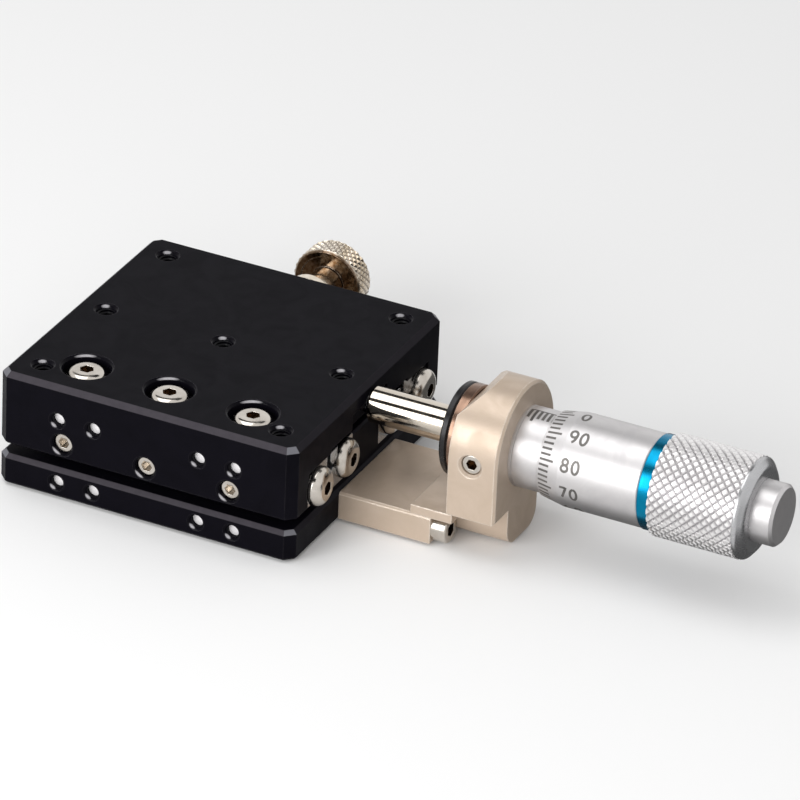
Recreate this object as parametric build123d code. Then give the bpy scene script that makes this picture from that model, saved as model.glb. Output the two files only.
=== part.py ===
"""Linear stage with crossed roller rails and a micrometer drive.

Millimetres, +Z up. The origin is the centre of the base's bottom face. The
table travels along X, the micrometer stands on the +X side and the front is
-Y. Every driving dimension is named at the top and can be set by itself.
"""
from build123d import *
import math
import os

# Base and table
STAGE_SIZE = 62.3        # base and table in plan, both ways
STAGE_HEIGHT = 23.7      # base bottom face to table top face
BASE_PLATE = 6.2         # base thickness outside the rails
TABLE_GAP = 2.3          # between the base plate and the table's walls
TRAVEL = 6.0             # table travel each way from the middle
EDGE_CHAMFER = 1.0       # top edges of the table
BASE_CHAMFER = 0.8       # top edges of the base
CORNER_CHAMFER = 1.8     # upright corners of table and base
HOLE_PITCH = 50.0        # tapped hole square, top and bottom
SIDE_HOLE_INNER = 22.0   # inner pair on the front faces
SIDE_HOLE_OUTER = 37.0   # outer pair on the front faces
SIDE_HOLE_DROP = 7.3     # table's side holes under its top face
RECESS_HALF = 7.3        # half width of the recess round the anvil
RECESS_DEPTH = 1.5
RECESS_RISE = 0.8        # recess above the spindle axis

# Crossed roller rails
RAIL_INSET = 0.7         # rail ends inside the stage's sides
RAIL_WIDTH = 9.0
RAIL_HEIGHT = 8.0
RAIL_SPACING = 30.7      # between the two raceway planes
RAIL_GAP = 1.5           # between an inner and an outer rail
RAIL_PAD = 1.1           # seat of the inner rails above the base plate
RAIL_STEP = 0.8          # outer rails above the inner ones
ROLLER_DIAMETER = 3.0
ROLLER_LENGTH = 2.7
ROLLER_COUNT = 7
ROLLER_PITCH = 5.0
CAGE_THICKNESS = 0.8
CAGE_HEIGHT = 6.2
RAIL_SCREW_PITCH = 17.5  # screws through the rails, and the screws above them

# Micrometer head
AXIS_HEIGHT = 19.25      # spindle axis above the base's bottom face
SPINDLE_RADIUS = 3.55
SPINDLE_TIP_GAP = 0.6    # spindle end in front of the table's side
SCREW_RADIUS = 3.0       # threaded part of the spindle
STEM_RADIUS = 6.0
SLEEVE_RADIUS = 7.8
THIMBLE_START = 69.5
THIMBLE_RADIUS = 9.05
THIMBLE_CONE = 4.5       # length of the bevel with the scale
RING_WIDTH = 2.3         # coloured ring on the thimble
GRIP_START = 92.5
GRIP_END = 111.5
GRIP_RADIUS = 9.9
GRIP_ROUND = 1.9         # rounding of the grip's end
CAP_RADIUS = 6.0
CAP_LENGTH = 4.4

# Bracket
BRACKET_START = 53.5     # left face of the ring block
BRACKET_WIDTH = 9.9      # ring block along X
BRACKET_RADIUS = 12.5
BRACKET_BEVEL = 4.3      # slope at the top of the left face
BRACKET_CUT = 7.9        # height under the block's outer parts
BRACKET_BOTTOM = 0.2
BAR_THICKNESS = 5.6
BAR_WIDTH = 24.0
BAR_END = 50.2
FOOT_WIDTH = 12.6
LIP_START = 46.0
LIP_THICKNESS = 1.75

# Clamp on the rear side
KNOB_RADIUS = 7.2
KNOB_LENGTH = 5.2
KNOB_START = 43.6        # near face of the knurled head
NECK_RADIUS = 3.4
COLLAR_RADIUS = 5.0
CLAMP_HEIGHT = 15.65     # clamp screw above the base's bottom face
CLAMP_PLATE = 3.0
CLAMP_STANDOFF = 1.0     # between the plate and the table's side

# Small pieces
ANVIL_RADIUS = 2.0
ANVIL_SEAT = 1.4         # depth of the anvil in the table
PIN_RADIUS = 1.0         # spring pins
PIN_SEAT = 3.0           # depth of the base's pin in the base plate
SPRING_PIN_X = 20.0      # spring pins to the stage's middle
SPRING_END = 4.2         # pin to the end of the coil
SPRING_RADIUS = 2.0
SPRING_TURNS = 8
WIRE_RADIUS = 0.35
SLEEVE_BORE = 7.0
ADJUSTER_LENGTH = 4.0    # nut that takes up the spindle's play
ADJUSTER_ROOM = 1.0      # on both sides of that nut
SHOULDER = 0.6           # flange of the stem against the bracket
TAIL_RADIUS = 5.5        # thread of the adjusting nut
HUB_ROOM = 4.5           # grip's near end to the thimble's hub
HUB_LENGTH = 6.0
STEM_BORE = 9.0          # wide bore of the stem past the bracket
STUB_RADIUS = 2.0
STUB_LENGTH = 5.5
PLUG_RADIUS = 4.0
NUT_RADIUS = 9.0
NUT_LENGTH = 2.4         # nut on the stem
LOCK_LENGTH = 1.4        # lock ring beside the nut
BRACKET_SCREW_Y = 9.2
BRACKET_SCREW_Z = 2.8
CLAMP_SCREW_X = 14.0
CLAMP_PLAY = 0.1         # between the knob's collar and the plate

# Fasteners and tapped holes
TAP_M4 = 1.7
MOUTH_M4 = 2.35
TAP_M3 = 1.3
MOUTH_M3 = 1.8
TAP_DEPTH = 6.0
SCREW_M4 = 2.0
SCREW_M3 = 1.5
M3_HEAD = 2.75
M3_HEAD_HEIGHT = 3.0
SCREW_LENGTH = 8.0       # screws through the inner rails
END_HEAD = 3.9           # button heads at the rail ends
END_HEAD_HEIGHT = 2.4
WASHER_THICKNESS = 0.6
TOP_HEAD = 4.0           # button heads in the table's top
TOP_HEAD_HEIGHT = 2.2
TOP_SINK = 2.7           # depth of their counterbores
TOP_COUNTERBORE = 4.6
TOP_MOUTH = 5.1
TOP_LENGTH = 11.0
PRELOAD_SINK = 0.9       # preload screws inside the table's front side
PRELOAD_MOUTH = 2.45
BRACKET_THREAD = 8.0     # depth of the holes for the bracket's screws
CLAMP_THREAD = 7.0       # depth of the holes for the clamp plate's screws
END_THREAD = 7.0         # depth of the holes in the rail ends

# Fits
SLIP = 0.02              # radial clearance of pieces fixed in each other
RUN = 0.05               # radial clearance of pieces that move in each other

# Derived places
HALF = STAGE_SIZE / 2
RAIL_LENGTH = STAGE_SIZE - 2 * RAIL_INSET
TABLE_BOTTOM = BASE_PLATE + TABLE_GAP
RAIL_BOTTOM = BASE_PLATE + RAIL_PAD + RAIL_STEP
RAIL_TOP = RAIL_BOTTOM + RAIL_HEIGHT
PLATE_BOTTOM = RAIL_TOP
RACE_HEIGHT = (RAIL_TOP + RAIL_BOTTOM) / 2
RACE_Y = RAIL_SPACING / 2
INNER_FACE = RACE_Y - RAIL_GAP / 2
INNER_BACK = INNER_FACE - RAIL_WIDTH
OUTER_FACE = RACE_Y + RAIL_GAP / 2
OUTER_BACK = OUTER_FACE + RAIL_WIDTH
OUTER_SCREW_Y = OUTER_BACK - 3.5
INNER_SCREW_Y = INNER_BACK + 4.0
BRACKET_END = BRACKET_START + BRACKET_WIDTH
BAR_TOP = BRACKET_BOTTOM + BAR_THICKNESS
SPINDLE_TIP = HALF + SPINDLE_TIP_GAP
TOP_SEAT = STAGE_HEIGHT - TOP_SINK
INNER_SEAT = RAIL_TOP - M3_HEAD_HEIGHT - 1.1
INNER_HOLE_Y = INNER_BACK + 4.3
REAR_SEAT = RAIL_BOTTOM + M3_HEAD_HEIGHT + 0.3
PRELOAD_HEIGHT = RACE_HEIGHT - 0.6
CLAMP_FACE = HALF + CLAMP_STANDOFF + CLAMP_PLATE
RAIL_SCREW_X = [-RAIL_SCREW_PITCH, 0.0, RAIL_SCREW_PITCH]
SQUARE = [(x * HOLE_PITCH / 2, y * HOLE_PITCH / 2) for x in (-1, 1) for y in (-1, 1)]
TOP_HOLES = SQUARE + [(-HOLE_PITCH / 2, 0), (HOLE_PITCH / 2, 0), (0, 0)]
SIDE_HOLES = [side * pitch / 2 for pitch in (SIDE_HOLE_INNER, SIDE_HOLE_OUTER) for side in (-1, 1)]
SLEEVE_END = GRIP_START - 5.0
ADJUSTER_START = SLEEVE_END - ADJUSTER_ROOM - ADJUSTER_LENGTH
TAIL_START = ADJUSTER_START - ADJUSTER_ROOM
RING_START = GRIP_START - RING_WIDTH
ANVIL_FLOOR = HALF - RECESS_DEPTH
ANVIL_START = ANVIL_FLOOR - ANVIL_SEAT
SIDE_HOLE_HEIGHT = STAGE_HEIGHT - SIDE_HOLE_DROP
STEM_SCREW_X = BRACKET_START + BRACKET_WIDTH * 0.45
STEM_START = BRACKET_START - NUT_LENGTH - LOCK_LENGTH - 0.4
THIMBLE_EDGE = SLEEVE_RADIUS + 0.4
CORE_RADIUS = THIMBLE_RADIUS - 0.5
HUB_START = GRIP_START + HUB_ROOM
HUB_END = HUB_START + HUB_LENGTH


def cylinder_x(radius, start, end, y=0.0, z=AXIS_HEIGHT):
    """Cylinder along X between two places."""
    middle = Pos((start + end) / 2, y, z)
    return middle * Rot(0, 90, 0) * Cylinder(radius, end - start)


def cone_x(radius_start, radius_end, start, end, y=0.0, z=AXIS_HEIGHT):
    """Cone along X, with its first radius at the lower X."""
    middle = Pos((start + end) / 2, y, z)
    return middle * Rot(0, 90, 0) * Cone(radius_start, radius_end, end - start)


def cylinder_y(radius, start, end, x=0.0, z=0.0):
    """Cylinder along Y between two places."""
    middle = Pos(x, (start + end) / 2, z)
    return middle * Rot(90, 0, 0) * Cylinder(radius, end - start)


def cylinder_z(radius, start, end, x=0.0, y=0.0):
    """Upright cylinder between two heights."""
    return Pos(x, y, (start + end) / 2) * Cylinder(radius, end - start)


def block(x0, x1, y0, y1, z0, z1):
    """Box between two corners."""
    middle = Pos((x0 + x1) / 2, (y0 + y1) / 2, (z0 + z1) / 2)
    return middle * Box(x1 - x0, y1 - y0, z1 - z0)


def turned(points, y=0.0, z=AXIS_HEIGHT):
    """Solid of revolution about a line along X. Points are (x, radius)."""
    outline = Polyline(*[(x, 0, r) for x, r in points], close=True)
    return Pos(0, y, z) * revolve(make_face(outline), Axis.X)


def tapped_hole(radius, depth, mouth):
    """Cutter for a tapped hole from z = 0 down, with a chamfered mouth."""
    bevel = mouth - radius
    bore = cylinder_z(radius, -depth, 0.1)
    lead = Pos(0, 0, -bevel / 2) * Cone(radius, mouth, bevel)
    skin = cylinder_z(mouth, 0, 0.1)
    return bore + lead + skin


def hex_socket(width, depth):
    """Cutter for a hexagon socket from z = 0 down."""
    corner = width / math.sqrt(3)
    return extrude(RegularPolygon(corner, 6), -depth)


def cap_screw(thread, length, head, height, socket):
    """Socket head screw with its seat at z = 0 and its shank below."""
    top = Cylinder(head, height)
    top = chamfer(top.edges().group_by(Axis.Z)[-1], 0.25)
    top = Pos(0, 0, height / 2) * top
    top -= Pos(0, 0, height) * hex_socket(socket, height * 0.55)
    shank = Cylinder(thread, length)
    shank = chamfer(shank.edges().group_by(Axis.Z)[0], thread * 0.25)
    return top + Pos(0, 0, -length / 2) * shank


def button_screw(thread, length, head, height, socket):
    """Button head screw with its seat at z = 0 and its shank below."""
    dome = Cylinder(head, height)
    dome = fillet(dome.edges().group_by(Axis.Z)[-1], height * 0.8)
    dome = Pos(0, 0, height / 2) * dome
    dome -= Pos(0, 0, height) * hex_socket(socket, height * 0.6)
    shank = Cylinder(thread, length)
    shank = chamfer(shank.edges().group_by(Axis.Z)[0], thread * 0.25)
    return dome + Pos(0, 0, -length / 2) * shank


def set_screw(thread, length, socket):
    """Headless screw with its socket end at z = 0 and its point below."""
    body = Pos(0, 0, -length / 2) * Cylinder(thread, length)
    body = chamfer(body.edges().group_by(Axis.Z)[0], thread * 0.4)
    return body - hex_socket(socket, length * 0.45)


def facing_right(x, y, z):
    """Place that turns a shape's +Z to +X."""
    return Pos(x, y, z) * Rot(0, 90, 0)


def facing_left(x, y, z):
    """Place that turns a shape's +Z to -X."""
    return Pos(x, y, z) * Rot(0, -90, 0)


def facing_front(x, y, z):
    """Place that turns a shape's +Z to -Y."""
    return Pos(x, y, z) * Rot(90, 0, 0)


def facing_rear(x, y, z):
    """Place that turns a shape's +Z to +Y."""
    return Pos(x, y, z) * Rot(-90, 0, 0)


def stage_slab(bottom, top, rim):
    """Square slab with chamfered corners and a chamfered top rim."""
    slab = block(-HALF, HALF, -HALF, HALF, bottom, top)
    slab = chamfer(slab.edges().filter_by(Axis.Z), CORNER_CHAMFER)
    slab = chamfer(slab.faces().sort_by(Axis.Z)[-1].edges(), rim)
    return chamfer(slab.faces().sort_by(Axis.Z)[0].edges(), 0.5)


def base_plate():
    """Base with the seats of the inner rails and a rib between them."""
    plate = stage_slab(0, BASE_PLATE, BASE_CHAMFER)
    end = RAIL_LENGTH / 2
    pad = block(-end, end, -INNER_FACE, INNER_FACE, BASE_PLATE / 2, BASE_PLATE + RAIL_PAD)
    rib_half = INNER_BACK - SLIP
    rib = block(-end, end, -rib_half, rib_half, BASE_PLATE / 2, RAIL_TOP - 1.0)
    rib = chamfer(rib.faces().sort_by(Axis.Z)[-1].edges(), 0.4)
    plate = plate + pad + rib
    groove = block(-end - 1, SPRING_PIN_X + 4, -3.0, 3.0, RAIL_BOTTOM, RAIL_TOP)
    plate -= groove
    for x in RAIL_SCREW_X:
        for y in (-INNER_HOLE_Y, INNER_HOLE_Y):
            plate -= cylinder_z(SCREW_M3 + SLIP, INNER_SEAT - SCREW_LENGTH - 1, STAGE_HEIGHT, x, y)
    for x, y in SQUARE:
        plate -= Pos(x, y, 0) * Rot(180, 0, 0) * tapped_hole(TAP_M4, BASE_PLATE + 1, MOUTH_M4)
    for x in SIDE_HOLES:
        plate -= facing_front(x, -HALF, BASE_PLATE / 2) * tapped_hole(TAP_M3, TAP_DEPTH, MOUTH_M3)
    for y in (-BRACKET_SCREW_Y, BRACKET_SCREW_Y):
        plate -= cylinder_x(SCREW_M3 + SLIP, HALF - BRACKET_THREAD, HALF + 1, y, BRACKET_SCREW_Z)
    for x in (-CLAMP_SCREW_X, CLAMP_SCREW_X):
        plate -= cylinder_y(SCREW_M3 + SLIP, HALF - CLAMP_THREAD, HALF + 1, x, BASE_PLATE / 2)
    plate -= cylinder_z(PIN_RADIUS + SLIP, BASE_PLATE - PIN_SEAT, RAIL_BOTTOM + 0.1, SPRING_PIN_X, 0)
    return plate


def table_plate():
    """Table with walls round the outer rails."""
    table = stage_slab(TABLE_BOTTOM, STAGE_HEIGHT, EDGE_CHAMFER)
    wall = OUTER_BACK + SLIP
    far = HALF + 1
    table -= block(-far, far, -wall, wall, 0, PLATE_BOTTOM)
    relief = PLATE_BOTTOM + RAIL_STEP
    for side in (-1, 1):
        inner = side * (INNER_BACK - 0.4)
        outer = side * (OUTER_FACE - 0.1)
        table -= block(-far, far, min(inner, outer), max(inner, outer), 0, relief)
    table -= block(ANVIL_FLOOR, far, -RECESS_HALF, RECESS_HALF, 0, AXIS_HEIGHT + RECESS_RISE)
    table -= cylinder_x(ANVIL_RADIUS + SLIP, ANVIL_START, far)
    for x, y in TOP_HOLES:
        table -= Pos(x, y, STAGE_HEIGHT) * tapped_hole(TAP_M4, TAP_DEPTH + 0.5, MOUTH_M4)
    pocket = RAIL_LENGTH / 2 - 0.5
    for y in (-OUTER_SCREW_Y, OUTER_SCREW_Y):
        table -= cylinder_x(END_HEAD + 0.2, pocket, far, y, RACE_HEIGHT)
        table -= cylinder_x(END_HEAD + 0.2, -far, -pocket, y, RACE_HEIGHT)
    for x in RAIL_SCREW_X:
        table -= cylinder_z(TOP_COUNTERBORE, TOP_SEAT, STAGE_HEIGHT + 1, x, -OUTER_SCREW_Y)
        table -= Pos(x, -OUTER_SCREW_Y, STAGE_HEIGHT) * tapped_hole(TOP_COUNTERBORE, 1.0, TOP_MOUTH)
        table -= cylinder_z(SCREW_M4 + 0.2, 0, STAGE_HEIGHT, x, -OUTER_SCREW_Y)
        front = facing_front(x, -HALF, PRELOAD_HEIGHT)
        table -= front * tapped_hole(SCREW_M4 + SLIP, HALF - wall + 1, PRELOAD_MOUTH)
        table -= cylinder_z(SCREW_M3 + SLIP, 0, STAGE_HEIGHT - 3, x, OUTER_SCREW_Y)
    for x in SIDE_HOLES:
        table -= facing_front(x, -HALF, SIDE_HOLE_HEIGHT) * tapped_hole(TAP_M3, 4.2, MOUTH_M3)
    table -= cylinder_y(SCREW_M4 + SLIP, OUTER_BACK + 0.3, HALF + 1, 0, CLAMP_HEIGHT)
    table -= cylinder_z(PIN_RADIUS + SLIP, 0, STAGE_HEIGHT - PIN_SEAT, -SPRING_PIN_X, 0)
    return table


def raceway(face, away):
    """V groove cutter at a rail face. The groove runs into -away."""
    depth = ROLLER_DIAMETER / math.sqrt(2) - RAIL_GAP / 2 + 0.03
    tip = face - away * depth
    outside = face + away * 0.5
    half = depth + 0.5
    points = [
        (0, tip, RACE_HEIGHT),
        (0, outside, RACE_HEIGHT + half),
        (0, outside, RACE_HEIGHT - half),
    ]
    wedge = extrude(make_face(Polyline(*points, close=True)), RAIL_LENGTH + 2, dir=(1, 0, 0))
    return Pos(-RAIL_LENGTH / 2 - 1, 0, 0) * wedge


def rail_body(face, back, top, away):
    """Rail bar with its raceway and the threads of its end screws."""
    end = RAIL_LENGTH / 2
    rail = block(-end, end, min(face, back), max(face, back), top - RAIL_HEIGHT, top)
    rail = chamfer(rail.edges().filter_by(Axis.X), 0.3)
    return rail - raceway(face, away)


def inner_rail(side):
    """Rail fixed to the base, with counterbored screw holes."""
    rail = rail_body(side * INNER_FACE, side * INNER_BACK, RAIL_TOP - RAIL_STEP, side)
    for x in RAIL_SCREW_X:
        rail -= cylinder_z(SCREW_M3 + 0.2, 0, STAGE_HEIGHT, x, side * INNER_HOLE_Y)
        rail -= cylinder_z(M3_HEAD + 0.25, INNER_SEAT, STAGE_HEIGHT, x, side * INNER_HOLE_Y)
    return rail - end_threads(side * INNER_SCREW_Y)


def outer_rail(side):
    """Rail fixed to the table. The front one is tapped for the top screws."""
    rail = rail_body(side * OUTER_FACE, side * OUTER_BACK, RAIL_TOP, -side)
    y = side * OUTER_SCREW_Y
    for x in RAIL_SCREW_X:
        if side < 0:
            rail -= cylinder_z(SCREW_M4 + SLIP, 0, STAGE_HEIGHT, x, y)
        else:
            rail -= cylinder_z(SCREW_M3 + 0.2, 0, STAGE_HEIGHT, x, y)
            rail -= cylinder_z(M3_HEAD + 0.25, 0, REAR_SEAT, x, y)
    return rail - end_threads(y)


def end_threads(y):
    """Cutters for the threads in both ends of a rail."""
    end = RAIL_LENGTH / 2
    right = cylinder_x(SCREW_M3 + SLIP, end - END_THREAD, end + 1, y, RACE_HEIGHT)
    left = cylinder_x(SCREW_M3 + SLIP, -end - 1, END_THREAD - end, y, RACE_HEIGHT)
    return right + left


def end_screws(y_places, standoff):
    """Button head screws in the ends of the rails."""
    end = RAIL_LENGTH / 2 + standoff
    screws = []
    for y in y_places:
        screw = button_screw(SCREW_M3, 6.0 + standoff, END_HEAD, END_HEAD_HEIGHT, 2.5)
        screws.append(facing_right(end, y, RACE_HEIGHT) * screw)
        screws.append(facing_left(-end, y, RACE_HEIGHT) * screw)
    return screws


def end_washers():
    """Washers under the end screws of the outer rails."""
    end = RAIL_LENGTH / 2
    washers = []
    for y in (-OUTER_SCREW_Y, OUTER_SCREW_Y):
        for low in (-end - WASHER_THICKNESS, end):
            disc = cylinder_x(END_HEAD - 0.1, low, low + WASHER_THICKNESS, y, RACE_HEIGHT)
            hole = cylinder_x(SCREW_M3 + 0.1, low - 1, low + 3, y, RACE_HEIGHT)
            washers.append(disc - hole)
    return washers


def roller_places():
    """Places of a cage's rollers along X, with their tilt."""
    first = -(ROLLER_COUNT - 1) / 2 * ROLLER_PITCH
    return [(first + i * ROLLER_PITCH, 45 if i % 2 else -45) for i in range(ROLLER_COUNT)]


def rollers(side):
    """Crossed rollers between two raceways."""
    found = []
    for x, tilt in roller_places():
        roller = Cylinder(ROLLER_DIAMETER / 2, ROLLER_LENGTH)
        roller = chamfer(roller.edges(), 0.15)
        found.append(Pos(x, side * RACE_Y, RACE_HEIGHT) * Rot(tilt, 0, 0) * roller)
    return found


def cage(side):
    """Flat cage that spaces the rollers."""
    half = ROLLER_COUNT * ROLLER_PITCH / 2 + 1.0
    y = side * RACE_Y
    low, high = y - CAGE_THICKNESS / 2, y + CAGE_THICKNESS / 2
    top, bottom = RACE_HEIGHT + CAGE_HEIGHT / 2, RACE_HEIGHT - CAGE_HEIGHT / 2
    strip = block(-half, half, low, high, bottom, top)
    strip = chamfer(strip.edges().filter_by(Axis.Y), 0.8)
    for x, tilt in roller_places():
        turn = Pos(x, y, RACE_HEIGHT) * Rot(tilt, 0, 0)
        strip -= turn * Cylinder(ROLLER_DIAMETER / 2 + RUN, ROLLER_LENGTH + 0.2)
    return strip


def return_spring():
    """Extension spring with a hook at each end, in the rib's groove."""
    start, end = SPRING_END - SPRING_PIN_X, SPRING_PIN_X - SPRING_END
    path = Helix((end - start) / SPRING_TURNS, end - start, SPRING_RADIUS)
    coil = sweep(Plane(path @ 0, z_dir=path % 0) * Circle(WIRE_RADIUS), path=path)
    spring = Pos(start, 0, RACE_HEIGHT) * Rot(0, 90, 0) * coil
    spring += spring_hook(-SPRING_PIN_X, start, 1)
    spring += spring_hook(SPRING_PIN_X, end, -1)
    return spring


def spring_hook(pin, end, way):
    """Flat loop round a pin, with a leg that bends down to the coil's end."""
    loop = PIN_RADIUS + WIRE_RADIUS + RUN
    hook = Pos(pin, 0, RACE_HEIGHT) * Torus(loop, WIRE_RADIUS)
    low, high = sorted((pin + way * loop, end + way * WIRE_RADIUS * 0.7))
    hook += cylinder_x(WIRE_RADIUS, low, high, 0, RACE_HEIGHT)
    foot = RACE_HEIGHT - SPRING_RADIUS - WIRE_RADIUS * 0.3
    return hook + cylinder_z(WIRE_RADIUS, foot, RACE_HEIGHT, end - way * WIRE_RADIUS * 0.3, 0)


def spring_pin(x, bottom, top):
    """Upright pin that holds one end of the spring."""
    pin = cylinder_z(PIN_RADIUS, bottom, top, x, 0)
    return chamfer(pin.edges(), 0.15)


def anvil():
    """Hardened pin in the table's side that the spindle pushes on."""
    return turned([
        (ANVIL_START, 0),
        (ANVIL_START, ANVIL_RADIUS),
        (SPINDLE_TIP - 0.5, ANVIL_RADIUS),
        (SPINDLE_TIP, ANVIL_RADIUS - 0.9),
        (SPINDLE_TIP, 0),
    ])


def bracket():
    """Bar from the base's side and the ring block that holds the micrometer."""
    half = BAR_WIDTH / 2
    foot = FOOT_WIDTH / 2
    bar = block(HALF, BAR_END, -half, half, BRACKET_BOTTOM, BAR_TOP)
    bar = chamfer(bar.faces().sort_by(Axis.Z)[-1].edges().filter_by(Axis.X), 0.4)
    lip = block(LIP_START, BRACKET_START + 1, -half, half, BAR_TOP - 0.1, BAR_TOP + LIP_THICKNESS)
    sill = block(BAR_END - 1, BRACKET_END, -foot, foot, BRACKET_BOTTOM, BAR_TOP)
    sill += block(BRACKET_START, BRACKET_END, -foot, foot, BAR_TOP - 1, BRACKET_CUT + 1)
    sill = fillet(sill.edges().filter_by(Axis.X).group_by(Axis.Z)[0], 3.5)
    ring = cylinder_x(BRACKET_RADIUS, BRACKET_START, BRACKET_END)
    radius = BRACKET_RADIUS
    body = ring + block(BRACKET_START, BRACKET_END, -radius, radius, BRACKET_CUT, AXIS_HEIGHT)
    slope = Pos(BRACKET_START, 0, AXIS_HEIGHT + BRACKET_RADIUS) * Rot(0, 45, 0)
    body -= slope * Box(BRACKET_BEVEL * math.sqrt(2), 3 * radius, BRACKET_BEVEL * math.sqrt(2))
    body &= block(0, BRACKET_END, -radius - 1, radius + 1, BRACKET_CUT, AXIS_HEIGHT + 2 * radius)
    body = chamfer(body.faces().sort_by(Axis.X)[-1].edges(), 0.5)
    shape = bar + lip + sill + body
    shape -= cylinder_x(STEM_RADIUS + SLIP, BRACKET_START - 1, BRACKET_END + 1)
    for y in (-BRACKET_SCREW_Y, BRACKET_SCREW_Y):
        shape -= cylinder_x(SCREW_M3 + 0.1, HALF - 1, BAR_END + 1, y, BRACKET_SCREW_Z)
    set_place = facing_front(STEM_SCREW_X, -BRACKET_RADIUS, AXIS_HEIGHT)
    shape -= set_place * tapped_hole(SCREW_M4 + SLIP, BRACKET_RADIUS, SCREW_M4 + 0.5)
    return shape


def stem_set_screw():
    """Set screw that holds the stem in the bracket."""
    start = -BRACKET_RADIUS + 0.7
    length = -STEM_RADIUS - start
    return facing_front(STEM_SCREW_X, start, AXIS_HEIGHT) * set_screw(SCREW_M4, length, 2.0)


def micrometer_stem():
    """Fixed inner body: stem, shoulder, nut thread and slotted tail."""
    outside = turned([
        (STEM_START, 0),
        (STEM_START, STEM_RADIUS - 0.4),
        (STEM_START + 0.4, STEM_RADIUS),
        (BRACKET_END, STEM_RADIUS),
        (BRACKET_END, SLEEVE_RADIUS),
        (BRACKET_END + SHOULDER, SLEEVE_RADIUS),
        (BRACKET_END + SHOULDER, SLEEVE_BORE - SLIP),
        (TAIL_START, SLEEVE_BORE - SLIP),
        (TAIL_START, TAIL_RADIUS),
        (SLEEVE_END, TAIL_RADIUS),
        (SLEEVE_END, 0),
    ])
    reach = BRACKET_END + SHOULDER + STEM_BORE
    outside -= cylinder_x(SPINDLE_RADIUS + RUN, STEM_START - 1, reach)
    return outside - cylinder_x(SCREW_RADIUS + RUN, reach - 1, SLEEVE_END + 1)


def ring_x(inner, outer, start, end, bevel):
    """Ring along X with bevelled outer edges."""
    return turned([
        (start, inner),
        (start, outer - bevel),
        (start + bevel, outer),
        (end - bevel, outer),
        (end, outer - bevel),
        (end, inner),
    ])


def spindle():
    """Spindle with its thread and the stub that the cap screws onto."""
    thread = BRACKET_END + 2.6
    return turned([
        (SPINDLE_TIP, 0),
        (SPINDLE_TIP, SPINDLE_RADIUS - 0.5),
        (SPINDLE_TIP + 0.5, SPINDLE_RADIUS),
        (thread, SPINDLE_RADIUS),
        (thread, SCREW_RADIUS),
        (HUB_END, SCREW_RADIUS),
        (HUB_END, STUB_RADIUS),
        (HUB_END + STUB_LENGTH, STUB_RADIUS),
        (HUB_END + STUB_LENGTH, 0),
    ])


def thimble():
    """Thimble with its bevel, hollow round the sleeve and hub."""
    cavity = SLEEVE_RADIUS + 0.12
    return turned([
        (THIMBLE_START, cavity),
        (THIMBLE_START, THIMBLE_EDGE),
        (THIMBLE_START + THIMBLE_CONE, THIMBLE_RADIUS),
        (RING_START - 0.3, THIMBLE_RADIUS),
        (RING_START, THIMBLE_RADIUS - 0.2),
        (RING_START, CORE_RADIUS),
        (GRIP_END - 1.3, CORE_RADIUS),
        (GRIP_END - 1.3, PLUG_RADIUS + SLIP),
        (HUB_END, PLUG_RADIUS + SLIP),
        (HUB_END, SCREW_RADIUS + SLIP),
        (HUB_START, SCREW_RADIUS + SLIP),
        (HUB_START, cavity),
    ])


def grip():
    """Knurled sleeve on the thimble, with a rounded end."""
    return turned([
        (GRIP_START, CORE_RADIUS + SLIP),
        (GRIP_START, GRIP_RADIUS - 0.4),
        (GRIP_START + 0.4, GRIP_RADIUS),
        (GRIP_END - GRIP_ROUND + 0.1, GRIP_RADIUS),
        (GRIP_END - GRIP_ROUND + 1.0, GRIP_RADIUS - 0.4),
        (GRIP_END - 0.3, GRIP_RADIUS - GRIP_ROUND + 0.8),
        (GRIP_END, GRIP_RADIUS - GRIP_ROUND),
        (GRIP_END, PLUG_RADIUS + SLIP),
        (GRIP_END - 1.3, PLUG_RADIUS + SLIP),
        (GRIP_END - 1.3, CORE_RADIUS + SLIP),
    ])


def thimble_cap():
    """Cap with a plug that clamps the thimble to the spindle."""
    end = GRIP_END + CAP_LENGTH
    return turned([
        (HUB_END, STUB_RADIUS + SLIP),
        (HUB_END, PLUG_RADIUS),
        (GRIP_END, PLUG_RADIUS),
        (GRIP_END, CAP_RADIUS),
        (end - 0.6, CAP_RADIUS),
        (end, CAP_RADIUS - 0.6),
        (end, 0),
        (HUB_END + STUB_LENGTH + 0.2, 0),
        (HUB_END + STUB_LENGTH + 0.2, STUB_RADIUS + SLIP),
    ])


def clamp_plate():
    """Slotted plate on the base's rear side, clear of the table."""
    near = HALF
    far = CLAMP_FACE
    side = CLAMP_SCREW_X + 5.0
    plate = block(-side, side, near, far, 0.5, CLAMP_HEIGHT + 4.4)
    plate -= block(-side - 1, side + 1, near - 1, near + CLAMP_STANDOFF, BASE_PLATE - 0.5, STAGE_HEIGHT)
    plate = fillet(plate.edges().filter_by(Axis.Y).group_by(Axis.Z)[-1], 3.0)
    slot = extrude(SlotOverall(2 * TRAVEL + 2 * SCREW_M4 + 1.2, 2 * SCREW_M4 + 0.5), 20)
    plate -= facing_rear(0, near - 2, CLAMP_HEIGHT) * slot
    for x in (-CLAMP_SCREW_X, CLAMP_SCREW_X):
        plate -= cylinder_y(SCREW_M3 + 0.2, near - 1, far + 1, x, BASE_PLATE / 2)
    return plate


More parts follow.
